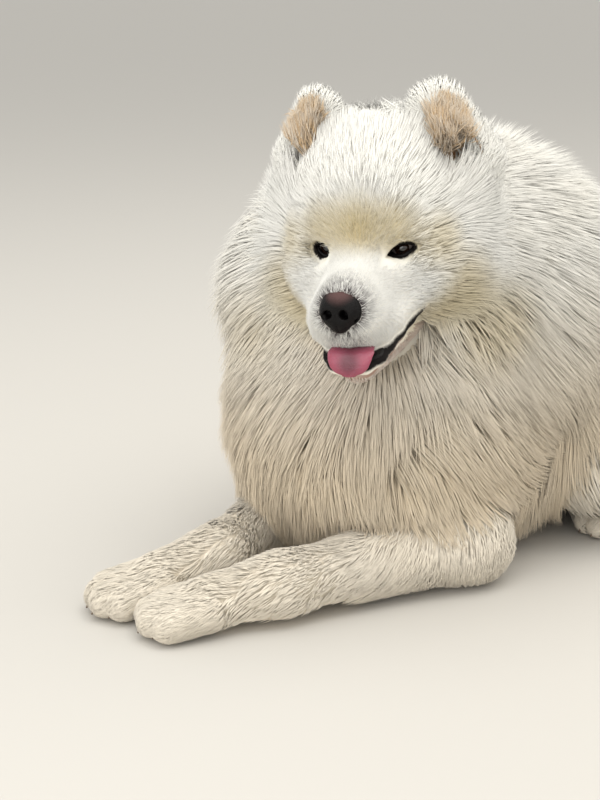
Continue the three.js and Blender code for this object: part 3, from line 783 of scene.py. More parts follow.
def hide_material():
    material, tree, shader = new_material("hide_and_undercoat", {
        "Roughness": 0.85, "Specular IOR Level": 0.2,
    })
    colour = coat_colour(tree, 0.5, 0.2)
    place = place_in(tree)
    zones = ("pink", "black", "stubble", "cup")
    pink, black, stubble, cup = (painted(tree, zone) for zone in zones)
    colour = blended(tree, cup, colour, linear(CUP_SKIN))
    colour = blended(tree, pink, colour, linear(JAW_SKIN))
    dots = ranged(tree, noise(tree, place, 700.0, 2.0), (0.35, 0.6), (1.0, 0.45))
    colour = blended(tree, scaled(tree, stubble, dots), colour, linear(STUBBLE_SKIN))
    colour = blended(tree, black, colour, linear(BARE_SKIN))
    tree.links.new(colour, shader.inputs["Base Color"])
    return material


net_lines = [graded(*reach, BODY_STEP, HEAD_STEP) for reach in zip(BODY_REACH, HEAD_REACH)]
skin_points, skin_quads = surface_net(whole_body, net_lines)


# The same form for the functions that also pass a share of the coat
def body_field(points, share):
    return whole_body(points)


skin_points = settled(body_field, skin_points, times=1)
skin = mesh_object("skin", skin_points, skin_quads)
skin_local = into_head(skin_points)
mouth_height = above_mouth(skin_local)
skin_facing = outward(body_field, skin_points, UNDERCOAT) @ head_axes
by_corner = smooth(skin_local[:, 1], 8, 0)
by_skull = smooth(head_flesh(skin_points, wool(skin_points)), 3, 1) * by_corner
by_jaw = smooth(lower_jaw(skin_points, UNDERCOAT), 3, 1) * by_corner
black_skin = by_skull * smooth(skin_facing[:, 2], -0.7, -0.9) * smooth(mouth_height, -12, -8)
black_skin = np.maximum(black_skin, by_jaw * smooth(mouth_height, -7.5, -5.0))
cup_skin = np.zeros(len(skin_points))
for side in (1, -1):
    spot = into_eye(skin_local, side)
    lids = (spot[:, 0] / (EYE_HALF[side] + 2.0)) ** 2 + (spot[:, 2] / (EYE_OPEN[side] + 1.8)) ** 2
    black_skin = np.maximum(black_skin, smooth(lids, 1.15, 0.95) * (np.abs(spot[:, 1]) < 24))
    spot = into_ear(skin_local, side)
    in_front = spot[:, 1] + CUP_FORWARD > -4
    cup_skin = np.maximum(cup_skin, smooth(cup_depth(spot, side), 7, 1) * in_front)
lip_away = np.min([roll(skin_local, 0.0) for roll in lip_rolls(LOWER_LIP, 0, 0, TUCKED)], 0)
pink_skin = smooth(lip_away, 30, 22) * smooth(mouth_height, -5, -7)
pink_skin *= smooth(skin_local[:, 1], -84, -62)
paint(skin, black=black_skin, pink=pink_skin, stubble=smooth(nose_pad(skin_local, 0.0), 13, 2),
      cup=cup_skin)
attach(skin, hide_material(), "long_white_fur", "head", "lower_jaw", "neck", "torso", "tail_base",
       "tail_middle", "tail_tip", *[f"paw_{word}" for word in feet],
       *[f"{limb}_{word}" for limb in ("ear", "foreleg", "thigh", "hindleg")
         for word in ("left", "right")])

# Where each bit of skin belongs, for the coats that grow on it
skin_triangles = np.concatenate([skin_quads[:, (0, 1, 2)], skin_quads[:, (0, 2, 3)]])
corner_a, corner_b, corner_c = (skin_points[skin_triangles[:, i]] for i in range(3))
skin_area = np.linalg.norm(np.cross(corner_b - corner_a, corner_c - corner_a), axis=1) / 2
skin_middle = (corner_a + corner_b + corner_c) / 3
skin_region = np.argmin(np.stack([in_chunks(lambda p, f=field: f(p, UNDERCOAT), skin_middle)
                                  for field in regions.values()]), 0)


# Coat
# Guard hairs stand in tapering wisps that rise out of the wool, bend over and lie along the
# body. Each wisp is a thin three-sided blade, closed at its root and drawn out to a point.
MORTON_CELL = 9.0
cells = ((skin_middle - skin_middle.min(0)) / MORTON_CELL).astype(np.int64)
code = np.zeros(len(cells), np.int64)
for bit in range(8):
    for axis in range(3):
        code |= ((cells[:, axis] >> bit) & 1) << (3 * bit + axis)
patch_order = np.argsort(code, kind="stable")


# Roots are spread evenly: the skin is walked patch by patch, and a root is set after each
# equal share of its area
def roots_on(names, count, rng, density=None):
    wanted = np.isin(skin_region, [region_names.index(name) for name in names])
    weight = np.where(wanted, skin_area, 0)
    if density is not None:
        weight[wanted] *= density(skin_middle[wanted])
    walked = np.cumsum(weight[patch_order])
    stops = (np.arange(count) + rng.random(count)) / count * walked[-1]
    chosen = patch_order[np.minimum(np.searchsorted(walked, stops), len(weight) - 1)]
    u, v = rng.random((2, count))
    over = u + v > 1
    u[over], v[over] = 1 - u[over], 1 - v[over]
    a, b, c = corner_a[chosen], corner_b[chosen], corner_c[chosen]
    return a + (b - a) * u[:, None] + (c - a) * v[:, None]


def unit(vectors):
    return vectors / np.maximum(np.linalg.norm(vectors, axis=-1, keepdims=True), 1e-9)


# The lie of the hair wanders a little, the same way over a hand's breadth
def wander(points, rng, size, strength):
    drift = np.zeros_like(points)
    for _ in range(5):
        wave = unit(rng.normal(size=3)) * 2 * math.pi / (size * rng.uniform(0.6, 1.6))
        drift += np.outer(np.sin(points @ wave + rng.uniform(0, 6.28)), unit(rng.normal(size=3)))
    return drift * strength / 2


ROOT_SHARE = 0.2
HAIR_FLOOR = 3.0
CLIMB = {2: (0, 1), 3: (0, 0.75, 1)}


def grown(field, roots, lie, length, level, knots, drift):
    here = roots
    spine, faces = [], []
    for i, climb in enumerate(CLIMB[knots]):
        share = ROOT_SHARE + (level - ROOT_SHARE) * climb
        if i > 0:
            flow = unit(unit(lie(here)) + drift)
            flow = unit(flow - (flow * faces[-1]).sum(1)[:, None] * faces[-1])
            here = here + flow * (length / (knots - 1))[:, None]
        here = settled(field, here, share)
        here[:, 2] = np.maximum(here[:, 2], HAIR_FLOOR)
        spine.append(here)
        faces.append(outward(field, here, share))
    return np.stack(spine, 1), np.stack(faces, 1)


# Wisps lean together into locks: each is drawn towards the guide nearest to its root
def gathered(spine, rng, group, strength):
    count = len(spine)
    guides = np.sort(rng.choice(count, max(count // group, 1), replace=False))
    nearest = np.empty(count, int)
    for i in range(0, count, 500):
        low, high = np.searchsorted(guides, (i - 40 * group, i + 40 * group + 500))
        near = guides[low:high] if high > low else guides
        away = ((spine[i:i + 500, None, 0] - spine[None, near, 0]) ** 2).sum(2)
        nearest[i:i + 500] = near[np.argmin(away, 1)]
    pull = strength * np.linspace(0, 1, spine.shape[1]) ** 1.2
    return spine + (spine[nearest] - spine) * pull[None, :, None], nearest


# A wisp takes most of its shading from the body under it and a little from the sky, because
# light that passes from hair to hair softens it
OWN_SHADING = 0.35
SKY_SHADING = np.array((0.0, 0.0, 0.35))
WISP_FLAT = 0.5

# Each wisp's finish is kept in a small patch at its root's place on the unrolled skin
PATCH = 0.003


def wisps(name, spine, faces, width, tone, axis, material, slot, own_shading):
    count, knots = spine.shape[:2]
    rows = knots - 1
    ahead = unit(np.diff(spine, axis=1))
    across = unit(np.cross(ahead, faces[:, :-1]))
    lift = np.cross(across, ahead)
    share = np.arange(rows) / rows
    wide = width[:, None, None] * (0.7 + 1.1 * share - 1.6 * share * share)[None, :, None]
    low = spine[:, :-1] - lift * wide * WISP_FLAT * 0.3
    ring = np.stack([low - across * wide / 2, low + across * wide / 2,
                     spine[:, :-1] + lift * wide * WISP_FLAT * 0.7], 2)
    points = np.concatenate([ring.reshape(count, rows * 3, 3), spine[:, -1:]], 1)
    own = np.stack([-0.87 * across - 0.5 * lift, 0.87 * across - 0.5 * lift, lift], 2)
    shading = unit(faces[:, :-1, None] + own * own_shading + SKY_SHADING)
    shading = np.concatenate([shading.reshape(count, rows * 3, 3),
                              unit(faces[:, -1:] + SKY_SHADING)], 1)
    blade = [(0, 1, 2)]
    for i in range(rows):
        for k in range(3):
            here, beside = i * 3 + k, i * 3 + (k + 1) % 3
            if i == rows - 1:
                blade.append((beside, here, rows * 3))
            else:
                blade.append((beside, here, here + 3))
                blade.append((beside, here + 3, beside + 3))
    each = points.shape[1]
    corners = (np.array(blade)[None] + np.arange(count)[:, None, None] * each).reshape(-1, 3)
    piece = mesh_object(name, points.reshape(-1, 3), corners)
    piece.data.normals_split_custom_set_from_vertices(shading.reshape(-1, 3).tolist())
    rise = np.append(np.repeat(share, 3), 1.0)
    side = np.append(np.tile((0.0, 1.0, 0.5), rows), 0.5)
    paint(piece, rise=np.tile(rise, count), tone=np.repeat(tone, each), side=np.tile(side, count))
    spot = unwrapped(spine[:, 0], axis)
    patch = np.stack([side, rise], 1) * PATCH
    corner_uv = (spot[:, None] * (1 - PATCH) + patch[None]).reshape(-1, 2)
    layer = piece.data.uv_layers.new(name="OFBake")
    layer.uv.foreach_set("vector", corner_uv[corners.ravel()].astype(np.float32).ravel())
    attach(piece, material, slot)


def unwrapped(points, axis):
    start, end = np.array(axis[0], float), np.array(axis[1], float)
    run = end - start
    along = (points - start) @ run / (run @ run)
    side = unit(np.cross(run, (0.0, 0.3, 1.0)))
    up = unit(np.cross(side, run))
    away = points - start
    turn = np.arctan2(away @ up, away @ side) / (2 * math.pi) + 0.5
    span = along.max() - along.min()
    return np.stack([(along - along.min()) / max(span, 1e-6), turn], 1)


# Hair is keratin: half matt with a soft sheen. Painted shade darkens and warms each wisp towards
# its root, where the wisps are packed and shade one another, and each wisp and lock is a little
# lighter or darker than the next. Dark stubble stands among the white hairs beside the nose and
# above the upper lip.
DARK_STUBBLE = "#3A3134"
BESIDE_NOSE = (-1, -88, -35)
ABOVE_LIP = (2, -84, -66)


def hair_material(name, sandy, root_shade, root_shade_colour, tip_white=0.0, creamy=0.06,
                  by_nose=0.0, tint=None):
    material, tree, shader = new_material(name, {
        "Roughness": 0.55, "Specular IOR Level": 0.2, "Sheen Weight": 0.25, "Sheen Roughness": 0.5,
    })
    place = place_in(tree)
    colour = coat_colour(tree, sandy, creamy)
    rise, tone, side = (painted(tree, layer) for layer in ("rise", "tone", "side"))
    # Painted shade towards each wisp's root, where the coat is packed and shaded
    depth = ranged(tree, rise, (0.0, 0.7), (root_shade, 0.0))
    colour = blended(tree, depth, colour, linear(root_shade_colour), "MULTIPLY")
    if tint:
        stained = ranged(tree, tone, (0.25, 0.7), (0.45, 1.0))
        colour = blended(tree, stained, colour, linear(tint))
    if by_nose:
        beside = nearness(tree, place, in_scene(from_head(BESIDE_NOSE)), 19, 41)
        above_lip = nearness(tree, place, in_scene(from_head(ABOVE_LIP)), 8, 28)
        beside = add(tree, "ShaderNodeMath", {0: beside, 1: above_lip}, operation="MAXIMUM")
        dusky = ranged(tree, rise, (0.0, 1.0), (by_nose, by_nose * 0.25))
        dark_hair = ranged(tree, tone, (0.3, 0.6), (1.3, 0.3))
        beside = scaled(tree, beside.outputs[0], dark_hair)
        dusky = scaled(tree, beside, dusky, use_clamp=True)
        colour = blended(tree, dusky, colour, linear(DARK_STUBBLE))
    if tip_white:
        colour = blended(tree, scaled(tree, rise, tip_white), colour, linear(WHITE_HAIR))
    strand = add(tree, "ShaderNodeCombineXYZ", {
        "X": scaled(tree, side, 4.0), "Y": scaled(tree, tone, 90.0),
    })
    streak = noise(tree, strand.outputs[0], 1.6, 1.0)
    grain = ranged(tree, streak, (0.3, 0.7), (0.88, 1.05))
    lock = ranged(tree, tone, (0.15, 0.85), (0.89, 1.02))
    final = add(tree, "ShaderNodeVectorMath", {0: colour, "Scale": scaled(tree, grain, lock)},
                operation="SCALE")
    tree.links.new(final.outputs[0], shader.inputs["Base Color"])
    return material


COUNT_SHARE = 1.0
UNEVEN = 0.25


# Wisps differ in length, in how high in the coat they end and in width, and are gathered into
# small and then larger locks. None is left in the bare places, which are named in rooted for
# roots and in clear for any part of a wisp.
def coat(name, names, field, lie, count, seed, material, axis, length, knots=3, width=1.0,
         wander_size=60, wander_by=0.3, fray=0.06, locks=((30, 0.3), (200, 0.12)), low=0.42,
         high=1.08, clear=(), rooted=(), density=None, wave=0.0, wool_width=0.6,
         own_shading=OWN_SHADING, slot="long_white_fur"):
    rng = np.random.default_rng(seed)
    roots = roots_on(names, int(count * COUNT_SHARE), rng, density)
    for bare in rooted:
        roots = roots[~bare(roots)]
    full = length(roots)
    long = full * rng.uniform(1 - UNEVEN, 1 + UNEVEN, len(roots))
    deep = rng.random(len(roots)) ** 1.5
    drift = wander(roots, rng, wander_size, wander_by) + rng.normal(size=roots.shape) * fray
    spine, faces = grown(field, roots, lie, long, high - low * deep, knots, drift)
    tone = rng.random(len(roots)) * 0.5
    for (group, strength), part in zip(locks, (0.3, 0.2)):
        spine, guide = gathered(spine, rng, group, strength)
        tone += rng.random(len(roots))[guide] * part
    if wave:
        ahead = unit(np.diff(spine, axis=1))
        across = unit(np.cross(ahead, faces[:, 1:]))
        share = np.linspace(0, 1, knots)[1:]
        swing = wave * np.sin(share * 7 + rng.uniform(0, 6.28, (len(spine), 1))) * share
        spine[:, 1:] += across * swing[:, :, None]
        spine[:, :, 2] = np.maximum(spine[:, :, 2], HAIR_FLOOR)
    kept = np.ones(len(spine), bool)
    for bare in clear:
        kept &= ~bare(spine.reshape(-1, 3)).reshape(spine.shape[:2]).any(1)
    spine, faces, tone = spine[kept], faces[kept], tone[kept]
    size = 0.7 + 0.012 * full[kept] if width is None else width
    size = size * rng.uniform(0.7, 1.3, len(spine)) * (1 + wool_width * deep[kept])
    wisps(name, spine, faces, size, tone, axis, material, slot, own_shading)


# A length or a lie of the hair that is the same everywhere
def everywhere(value):
    return lambda points: np.zeros((len(points), *np.shape(value))) + value


# Coat of the face and crown
# The hair is shortest on the muzzle, lies back from the nose over the brow, parts round the
# eyes, and is longest on the cheeks and behind the ears, where it runs out over the ruff.
NOSE_MIDDLE = np.array((0.0, -96.0, -44.0))


def in_ear_cup(points, side):
    spot = into_ear(into_head(points), side)
    across = (spot[:, 0] + CUP_ASIDE * side) / 16
    up = (spot[:, 2] - 24) / 25
    return (across ** 2 + up ** 2 < 1) & (spot[:, 1] < 2) & (spot[:, 1] > -40)


def in_cups(points):
    return in_ear_cup(points, 1) | in_ear_cup(points, -1)


def back_from_nose(points):
    local = into_head(points)
    x, y, z = local.T
    face = unit(local - NOSE_MIDDLE)
    crown = unit(np.stack([x * 0.8, np.full(len(local), 55.0), np.maximum(z, -10)], 1))
    mix = smooth(y, 10, 60)[:, None]
    flow = face * (1 - mix) + crown * mix
    cheek = smooth(np.abs(x), 24, 60) * smooth(z, 30, -30) * smooth(y, -15, 30)
    flow += cheek[:, None] * np.stack([np.sign(x) * 0.35, 0 * y, np.full(len(y), -0.45)], 1)
    lip = smooth(z, -46, -62) * smooth(y, 10, -20)
    flow[:, 2] -= 0.8 * lip
    for side in (1, -1):
        spot = into_ear(local, side)
        rising = np.exp(-(spot[:, 0] / 44) ** 2 - ((spot[:, 1] + 12) / 24) ** 2
                        - ((spot[:, 2] - 6) / 34) ** 2)
        flow += rising[:, None] * (0, 0.1, 2.4)
    for side in (1, -1):
        away = eye_distance(local, side)
        near = np.exp(-(away ** 2).sum(1) / 17 ** 2)
        flow += 1.5 * near[:, None] * unit(away)
    return flow @ head_axes.T


def face_length(points):
    local = into_head(points)
    x, y, z = local.T
    cheek = smooth(np.abs(x), 26, 56) * smooth(y, -8, 30)
    length = 6.5 + 9 * smooth(y, -60, 0) + 26 * smooth(y, 0, 62) + 26 * cheek
    for side in (1, -1):
        away = np.sqrt((eye_distance(local, side) ** 2).sum(1))
        length *= 0.35 + 0.65 * smooth(away, 10, 36)
    return length


def over_eyes(points):
    local = into_head(points)
    hit = np.zeros(len(points), bool)
    for side in (1, -1):
        eye = into_eye(local, side)
        across = (eye[:, 0] / (EYE_HALF[side] + 1.6)) ** 2
        hit |= (across + (eye[:, 2] / (EYE_OPEN[side] + 1.0)) ** 2 < 1) & (eye[:, 1] < 0)
    return hit


def over_nose(points):
    return nose_pad(into_head(points), 0.0) < 0.3


def under_muzzle(points):
    local = into_head(points)
    facing = outward(head_flesh, points, UNDERCOAT) @ head_axes
    return (facing[:, 2] < -0.82) & (local[:, 1] < 4) & (above_mouth(local) > -6)


TONGUE_PATH = np.array([(3, 6, -76), (4, -40, -76), (5, -70, -77), (5, -84, -80),
                        (5, -90.5, -86), (5, -92.5, -92), (5, -93, -96.5), (5, -93, -99)], float)
TONGUE_HALF_WIDE = (12, 15, 19, 21.5, 20, 17.5, 13, 7)
TONGUE_HALF_THICK = (4, 4, 4, 3.6, 3.2, 3.0, 2.6, 1.8)


def in_tongue(points):
    local = into_head(points)
    hit = np.zeros(len(points), bool)
    for i in range(len(TONGUE_PATH) - 1):
        flat = (local - TONGUE_PATH[i]) * (0.3, 1, 1) + TONGUE_PATH[i]
        hit |= bone(TONGUE_PATH[i], TONGUE_PATH[i + 1], 5, 5)(flat, 0.0) < 0
    return hit


head_and_ears = melted([head_flesh, regions["ear_left"], regions["ear_right"]], 26)
head_and_ruff = melted([head_flesh, neck_flesh, regions["ear_left"], regions["ear_right"]], 32)


def head_axis(front, back):
    return from_head(front), from_head(back)


# A share that runs from none to full along the head, counted back from between the eyes
def along_head(points, none, full):
    return smooth(into_head(points)[:, 1], none, full)


# Colours of the painted shade at the roots of the wisps
FACE_ROOT_SHADE = "#E2D9C4"
MUZZLE_ROOT_SHADE = "#D2D2D2"
LONG_ROOT_SHADE = "#D2C09C"
LEG_ROOT_SHADE = "#E3D3B4"
face_hair = hair_material("short_white_face_hair", 0.0, 0.2, FACE_ROOT_SHADE)
muzzle_hair = hair_material("short_white_muzzle_hair", 0.0, 0.45, MUZZLE_ROOT_SHADE, creamy=0.0,
                            by_nose=0.9)
long_hair = hair_material("long_white_guard_hair", 0.8, 0.34, LONG_ROOT_SHADE, 0.15, 0.25)
leg_hair = hair_material("short_cream_leg_hair", 0.4, 0.1, LEG_ROOT_SHADE, creamy=0.2)
coat("muzzle_coat", ["head"], head_flesh, back_from_nose, 26000, 101, muzzle_hair,
     head_axis((0, -110, -50), (0, -10, -20)), face_length, knots=2, width=0.8, wander_size=30,
     wander_by=0.15, fray=0.14, own_shading=1.0, locks=((7, 0.2),), clear=(over_eyes, over_nose),
     rooted=(under_muzzle,),
     density=lambda p: along_head(p, 2, -14) * (1 + along_head(p, -30, -60)))
coat("brow_coat", ["head"], head_flesh, back_from_nose, 9500, 102, face_hair,
     head_axis((0, -60, 0), (0, 70, 60)), face_length, width=None, wander_size=40, wander_by=0.2,
     locks=((5, 0.25), (20, 0.3)), clear=(over_eyes,), rooted=(under_muzzle,),
     density=lambda p: along_head(p, -18, -4) * along_head(p, 34, 16))
coat("crown_and_cheek_coat", ["head"], head_and_ruff, back_from_nose, 16000, 103, face_hair,
     head_axis((0, -40, 0), (0, 130, 0)), face_length, width=0.95, fray=0.07,
     locks=((5, 0.15), (24, 0.2)), low=0.28, high=1.05, wool_width=2.2, own_shading=0.2,
     clear=(over_eyes, in_cups), rooted=(under_muzzle,),
     density=lambda p: along_head(p, 8, 26) * (1 - 0.6 * along_head(p, 80, 110)))


# Between and round the ears the hair stands up in loose tufts that hide the ears' roots
def upright(points):
    x, y, z = into_head(points).T
    beside = smooth(np.abs(x), 30, 70)
    flow = [x * 0.4 + np.sign(x) * 40 * beside, 12 - 0.2 * y, np.full(len(x), 50.0)]
    return np.stack(flow, 1) @ head_axes.T


def by_ears(points):
    x, y, z = into_head(points).T
    crown = smooth(z, 55, 80) * smooth(y, 50, 66) * smooth(y, 130, 110)
    return crown * (0.35 + smooth(np.abs(x), 25, 45)) * smooth(np.abs(x), 58, 50)


coat("crown_tufts", ["head"], head_flesh, upright, 2400, 105, face_hair,
     head_axis((0, 0, 60), (0, 130, 60)), everywhere(30.0), wander_size=40, wander_by=0.4,
     fray=0.15, locks=((6, 0.25), (30, 0.3)), low=0.9, high=1.5, own_shading=1.0, density=by_ears)


def jaw_length(points):
    local = into_head(points)
    return 5 + 10 * smooth(above_mouth(local), -12, -34) + 12 * smooth(local[:, 1], -30, 20)


def on_lip(points, margin=0):
    local = into_head(points)
    return above_mouth(local) > margin - 15 - 12 * smooth(local[:, 1], -80, -58)


def over_lip(points):
    return on_lip(points, 4)


JAW_PINK = "#CBAF9F"
jaw_hair = hair_material("short_pinkish_jaw_hair", 0.0, 0.2, FACE_ROOT_SHADE, tint=JAW_PINK)
coat("jaw_coat", ["jaw"], lower_jaw, back_from_nose, 5500, 104, jaw_hair,
     head_axis((0, -90, -90), (0, 60, -80)), jaw_length, width=0.8, fray=0.12, wander_size=40,
     wander_by=0.2, locks=((6, 0.3),), clear=(in_tongue, over_lip), rooted=(on_lip,))

# Coat of the neck: the ruff and the bib
# The longest hair of all, wavy, springing away from the face all round and hanging over the
# chest and the elbows down to the floor.
face_middle = from_head((0, -10, -20))
trunk = melted([regions[name] for name in ("neck", "torso", "thigh_left", "thigh_right",
                                           "tail")], 32)
body_coat = melted([trunk, *[regions[name] for name in (
    "head", "foreleg_left", "foreleg_right", "paw_fore_left", "paw_fore_right")]], 16)


def away_from_face(points):
    return unit(points - face_middle) + (0, 0, -0.75)


def coat_depth(points, flesh):
    return np.maximum(flesh(points, 0.0) - flesh(points, 1.0), 0)


def neck_length(points):
    return 14 + 1.05 * coat_depth(points, neck_flesh)


def in_head(points):
    return (head_flesh(points, 0.3) < -4) | (lower_jaw(points, 0.3) < -4)


def is_bib(points):
    return smooth(points[:, 2], 330, 230)


def is_ruff(points):
    return 1.02 - is_bib(points)


for name, seed, size, strength, wave, part in (("ruff", 211, 110, 0.25, 0.5, is_ruff),
                                               ("bib", 212, 90, 0.3, 0.6, is_bib)):
    coat(f"{name}_coat", ["neck"], body_coat, away_from_face, 19000, seed, long_hair,
         ((16, -52, 60), (58, -40, 400)), neck_length, width=0.9, wander_size=size,
         wander_by=strength, wave=wave, fray=0.05, clear=(in_head,), low=0.24, high=1.16,
         wool_width=3.6, density=part)

# Coat of the body
# Long hair lies back along the spine, and hangs from the shoulders and the flanks.
SHOULDERS_END = 60.0
LONG_COAT = dict(wander_size=90, fray=0.05, low=0.22, wool_width=3.2)


def backward(points):
    hang = np.clip((SHOULDERS_END - points[:, 1]) / 120, 0, 1)
    over_thigh = smooth(points[:, 1], 100, 190)
    level = np.ones(len(points))
    return np.stack([0 * level, level, -0.42 - 1.6 * hang - 0.7 * over_thigh], 1)


def body_length(points):
    return 14 + coat_depth(points, torso_flesh)


def facing_down(points):
    return outward(body_coat, points, UNDERCOAT)[:, 2] < -0.55


body_axis = ((MIDLINE, -60, 150), (MIDLINE, 460, 150))
for word, side, count, seed, width in (("left", 1, 15000, 221, 1.1), ("right", -1, 9000, 222, 1.3)):
    coat(f"{word}_body_coat", ["torso"], body_coat, backward, count, seed, long_hair, body_axis,
         body_length, width=width, clear=(in_head,), rooted=(facing_down,), **LONG_COAT,
         density=lambda p: smooth(p[:, 0], MIDLINE - 10 * side, MIDLINE + 10 * side))


# Along the flanks it hangs to the floor
def low_on_flank(points):
    facing = outward(body_coat, points, UNDERCOAT)[:, 2]
    level = smooth(facing, 0.1, -0.15) * smooth(facing, -0.85, -0.6)
    return level * smooth(points[:, 1], 10, 50) * smooth(points[:, 1], 330, 260)


def fringe_length(points):
    return 34 + 0.5 * points[:, 2]


coat("flank_fringe", ["torso"], body_coat, everywhere((0.0, 0.25, -1.0)), 3800, 223, long_hair,
     body_axis, fringe_length, width=1.1, fray=0.08, low=0.5, high=1.3, wool_width=3.0,
     density=low_on_flank)

hind_hair = hair_material("long_white_hind_hair", 0.4, 0.34, LONG_ROOT_SHADE, 0.15, 0.2)
coat("thigh_coat", ["thigh_left", "thigh_right"], body_coat, everywhere((0.0, 0.9, -0.7)), 8500,
     231, hind_hair, ((MIDLINE, 150, 100), (MIDLINE, 430, 100)), everywhere(72.0), width=1.3,
     rooted=(facing_down,), **LONG_COAT)

# Coat of the tail
# A plume of long hair runs along a thin tail and springs a little away from it.
tail_knots = np.arange(len(TAIL_PATH))
tail_steps = np.linspace(0, len(TAIL_PATH) - 1, 61)
tail_line = np.stack([np.interp(tail_steps, tail_knots, TAIL_PATH[:, i]) for i in range(3)], 1)
tail_ahead = unit(np.gradient(tail_line, axis=0))


def along_tail(points):
    nearest = np.argmin(((points[:, None] - tail_line[None]) ** 2).sum(2), 1)
    return tail_ahead[nearest] + 0.35 * unit(points - tail_line[nearest]) + (0, 0, -0.25)


coat("tail_coat", ["tail"], trunk, along_tail, 6000, 241, hind_hair,
     (TAIL_PATH[0], TAIL_PATH[-1]), everywhere(88.0), width=1.3, wander_size=80, wander_by=0.35,
     low=0.25, wool_width=3.0)

# Coat of the legs and paws
# Short, close hair is brushed towards the toes. It grows longer up the leg, and at the elbow it
# hangs to the floor and runs into the long coat of the chest.
ELBOW_LONG = (-190.0, -60.0)


def limb_lie(top, middle, end, hangs):
    top, middle, end = (np.array(place, float) for place in (top, middle, end))

    def lie(points):
        beyond = ((points - middle) @ unit(end - middle) > 0)[:, None]
        run = np.where(beyond, unit(end - middle), unit(middle - top)) + (0, 0, -0.3)
        hang = smooth(points[:, 1], *ELBOW_LONG)[:, None] * hangs
        return run * (1 - hang) + np.array((0, 0.1, -1.0)) * hang
    return lie


def foreleg_length(points):
    return 15 + 62 * smooth(points[:, 1], *ELBOW_LONG)


for i, (word, leg) in enumerate(FORELEGS.items()):
    coat(f"foreleg_{word}_coat", [f"foreleg_{word}"], body_coat,
         limb_lie(leg["elbow"], leg["wrist"], leg["toes"], 1.0), 9000, 251 + i, leg_hair,
         (leg["elbow"], leg["toes"]), foreleg_length, width=0.8, wander_size=40, wander_by=0.2,
         fray=0.08, locks=((8, 0.15), (40, 0.2)), low=0.3, high=1.15, wool_width=2.0,
         rooted=(facing_down,), slot="short_cream_fur")

for i, (word, foot) in enumerate(feet.items()):
    leg_and_paw = melted([regions[f"paw_{word}"], regions[word.replace("_", "leg_")]], 10)
    coat(f"paw_{word}_coat", [f"paw_{word}"], leg_and_paw,
         limb_lie(foot["wrist"], foot["knuckle"], foot["toes"], 0.0),
         4600 if "fore" in word else 2000, 261 + i, leg_hair, (foot["wrist"], foot["toes"]),
         everywhere(17.0), wander_size=30, wander_by=0.2, fray=0.1, own_shading=0.6,
         locks=((8, 0.2),), low=0.35, high=1.2, wool_width=1.4, slot="short_cream_fur")

for i, (word, side) in enumerate((("left", same_side), ("right", across_body))):
    coat(f"hindleg_{word}_coat", [f"hindleg_{word}"], regions[f"hindleg_{word}"],
         limb_lie(side(CALF), side(HOCK), side(HIND_FOOT), 0.0), 1800, 271 + i, leg_hair,
         (side(HOCK), side(HIND_TOES)), everywhere(22.0), width=1.8, wander_size=40,
         slot="short_cream_fur")

# Coat of the ears
# Close plush stands up behind and round the rim, and short sandy hair fills the cup.
# Brown painted shade at the roots of the hair deep in the cups
CUP_ROOT_SHADE = "#8A6A4C"
CUP_SAND = "#CDAC7E"
inner_ear_hair = hair_material("sandy_inner_ear_hair", 0.0, 0.65, CUP_ROOT_SHADE, tint=CUP_SAND)

for word, side in SIDES.items():
    def up_ear(points):
        spot = into_ear(into_head(points), side)
        fan = np.stack([spot[:, 0] / 30, np.sign(spot[:, 1] + 4) * 0.2, np.ones(len(spot))], 1)
        return fan @ ear_axes(side).T @ head_axes.T

    def in_cup(points):
        return in_ear_cup(points, side)

    def cup_only(points):
        return in_cup(points).astype(float)

    ear_axis = head_axis((60 * side, 70, 40), (60 * side, 70, 140))
    coat(f"ear_{word}_coat", [f"ear_{word}"], regions[f"ear_{word}"], up_ear, 5600, 281 + side,
         face_hair, ear_axis, everywhere(15.0), width=0.9, wander_size=30, wander_by=0.2,
         fray=0.2, locks=((8, 0.2),), low=1.3, high=2.1, wool_width=1.8, own_shading=0.9,
         clear=(in_cup,), rooted=(in_cup,))
    coat(f"ear_{word}_inner_hair", [f"ear_{word}", "head"], head_and_ears, up_ear, 2600,
         291 + side, inner_ear_hair, ear_axis, everywhere(19.0), width=0.9, wander_size=25,
         wander_by=0.5, fray=0.2, locks=((12, 0.5),), low=1.2, high=2.0, wool_width=1.5,
         own_shading=0.8, density=cup_only)


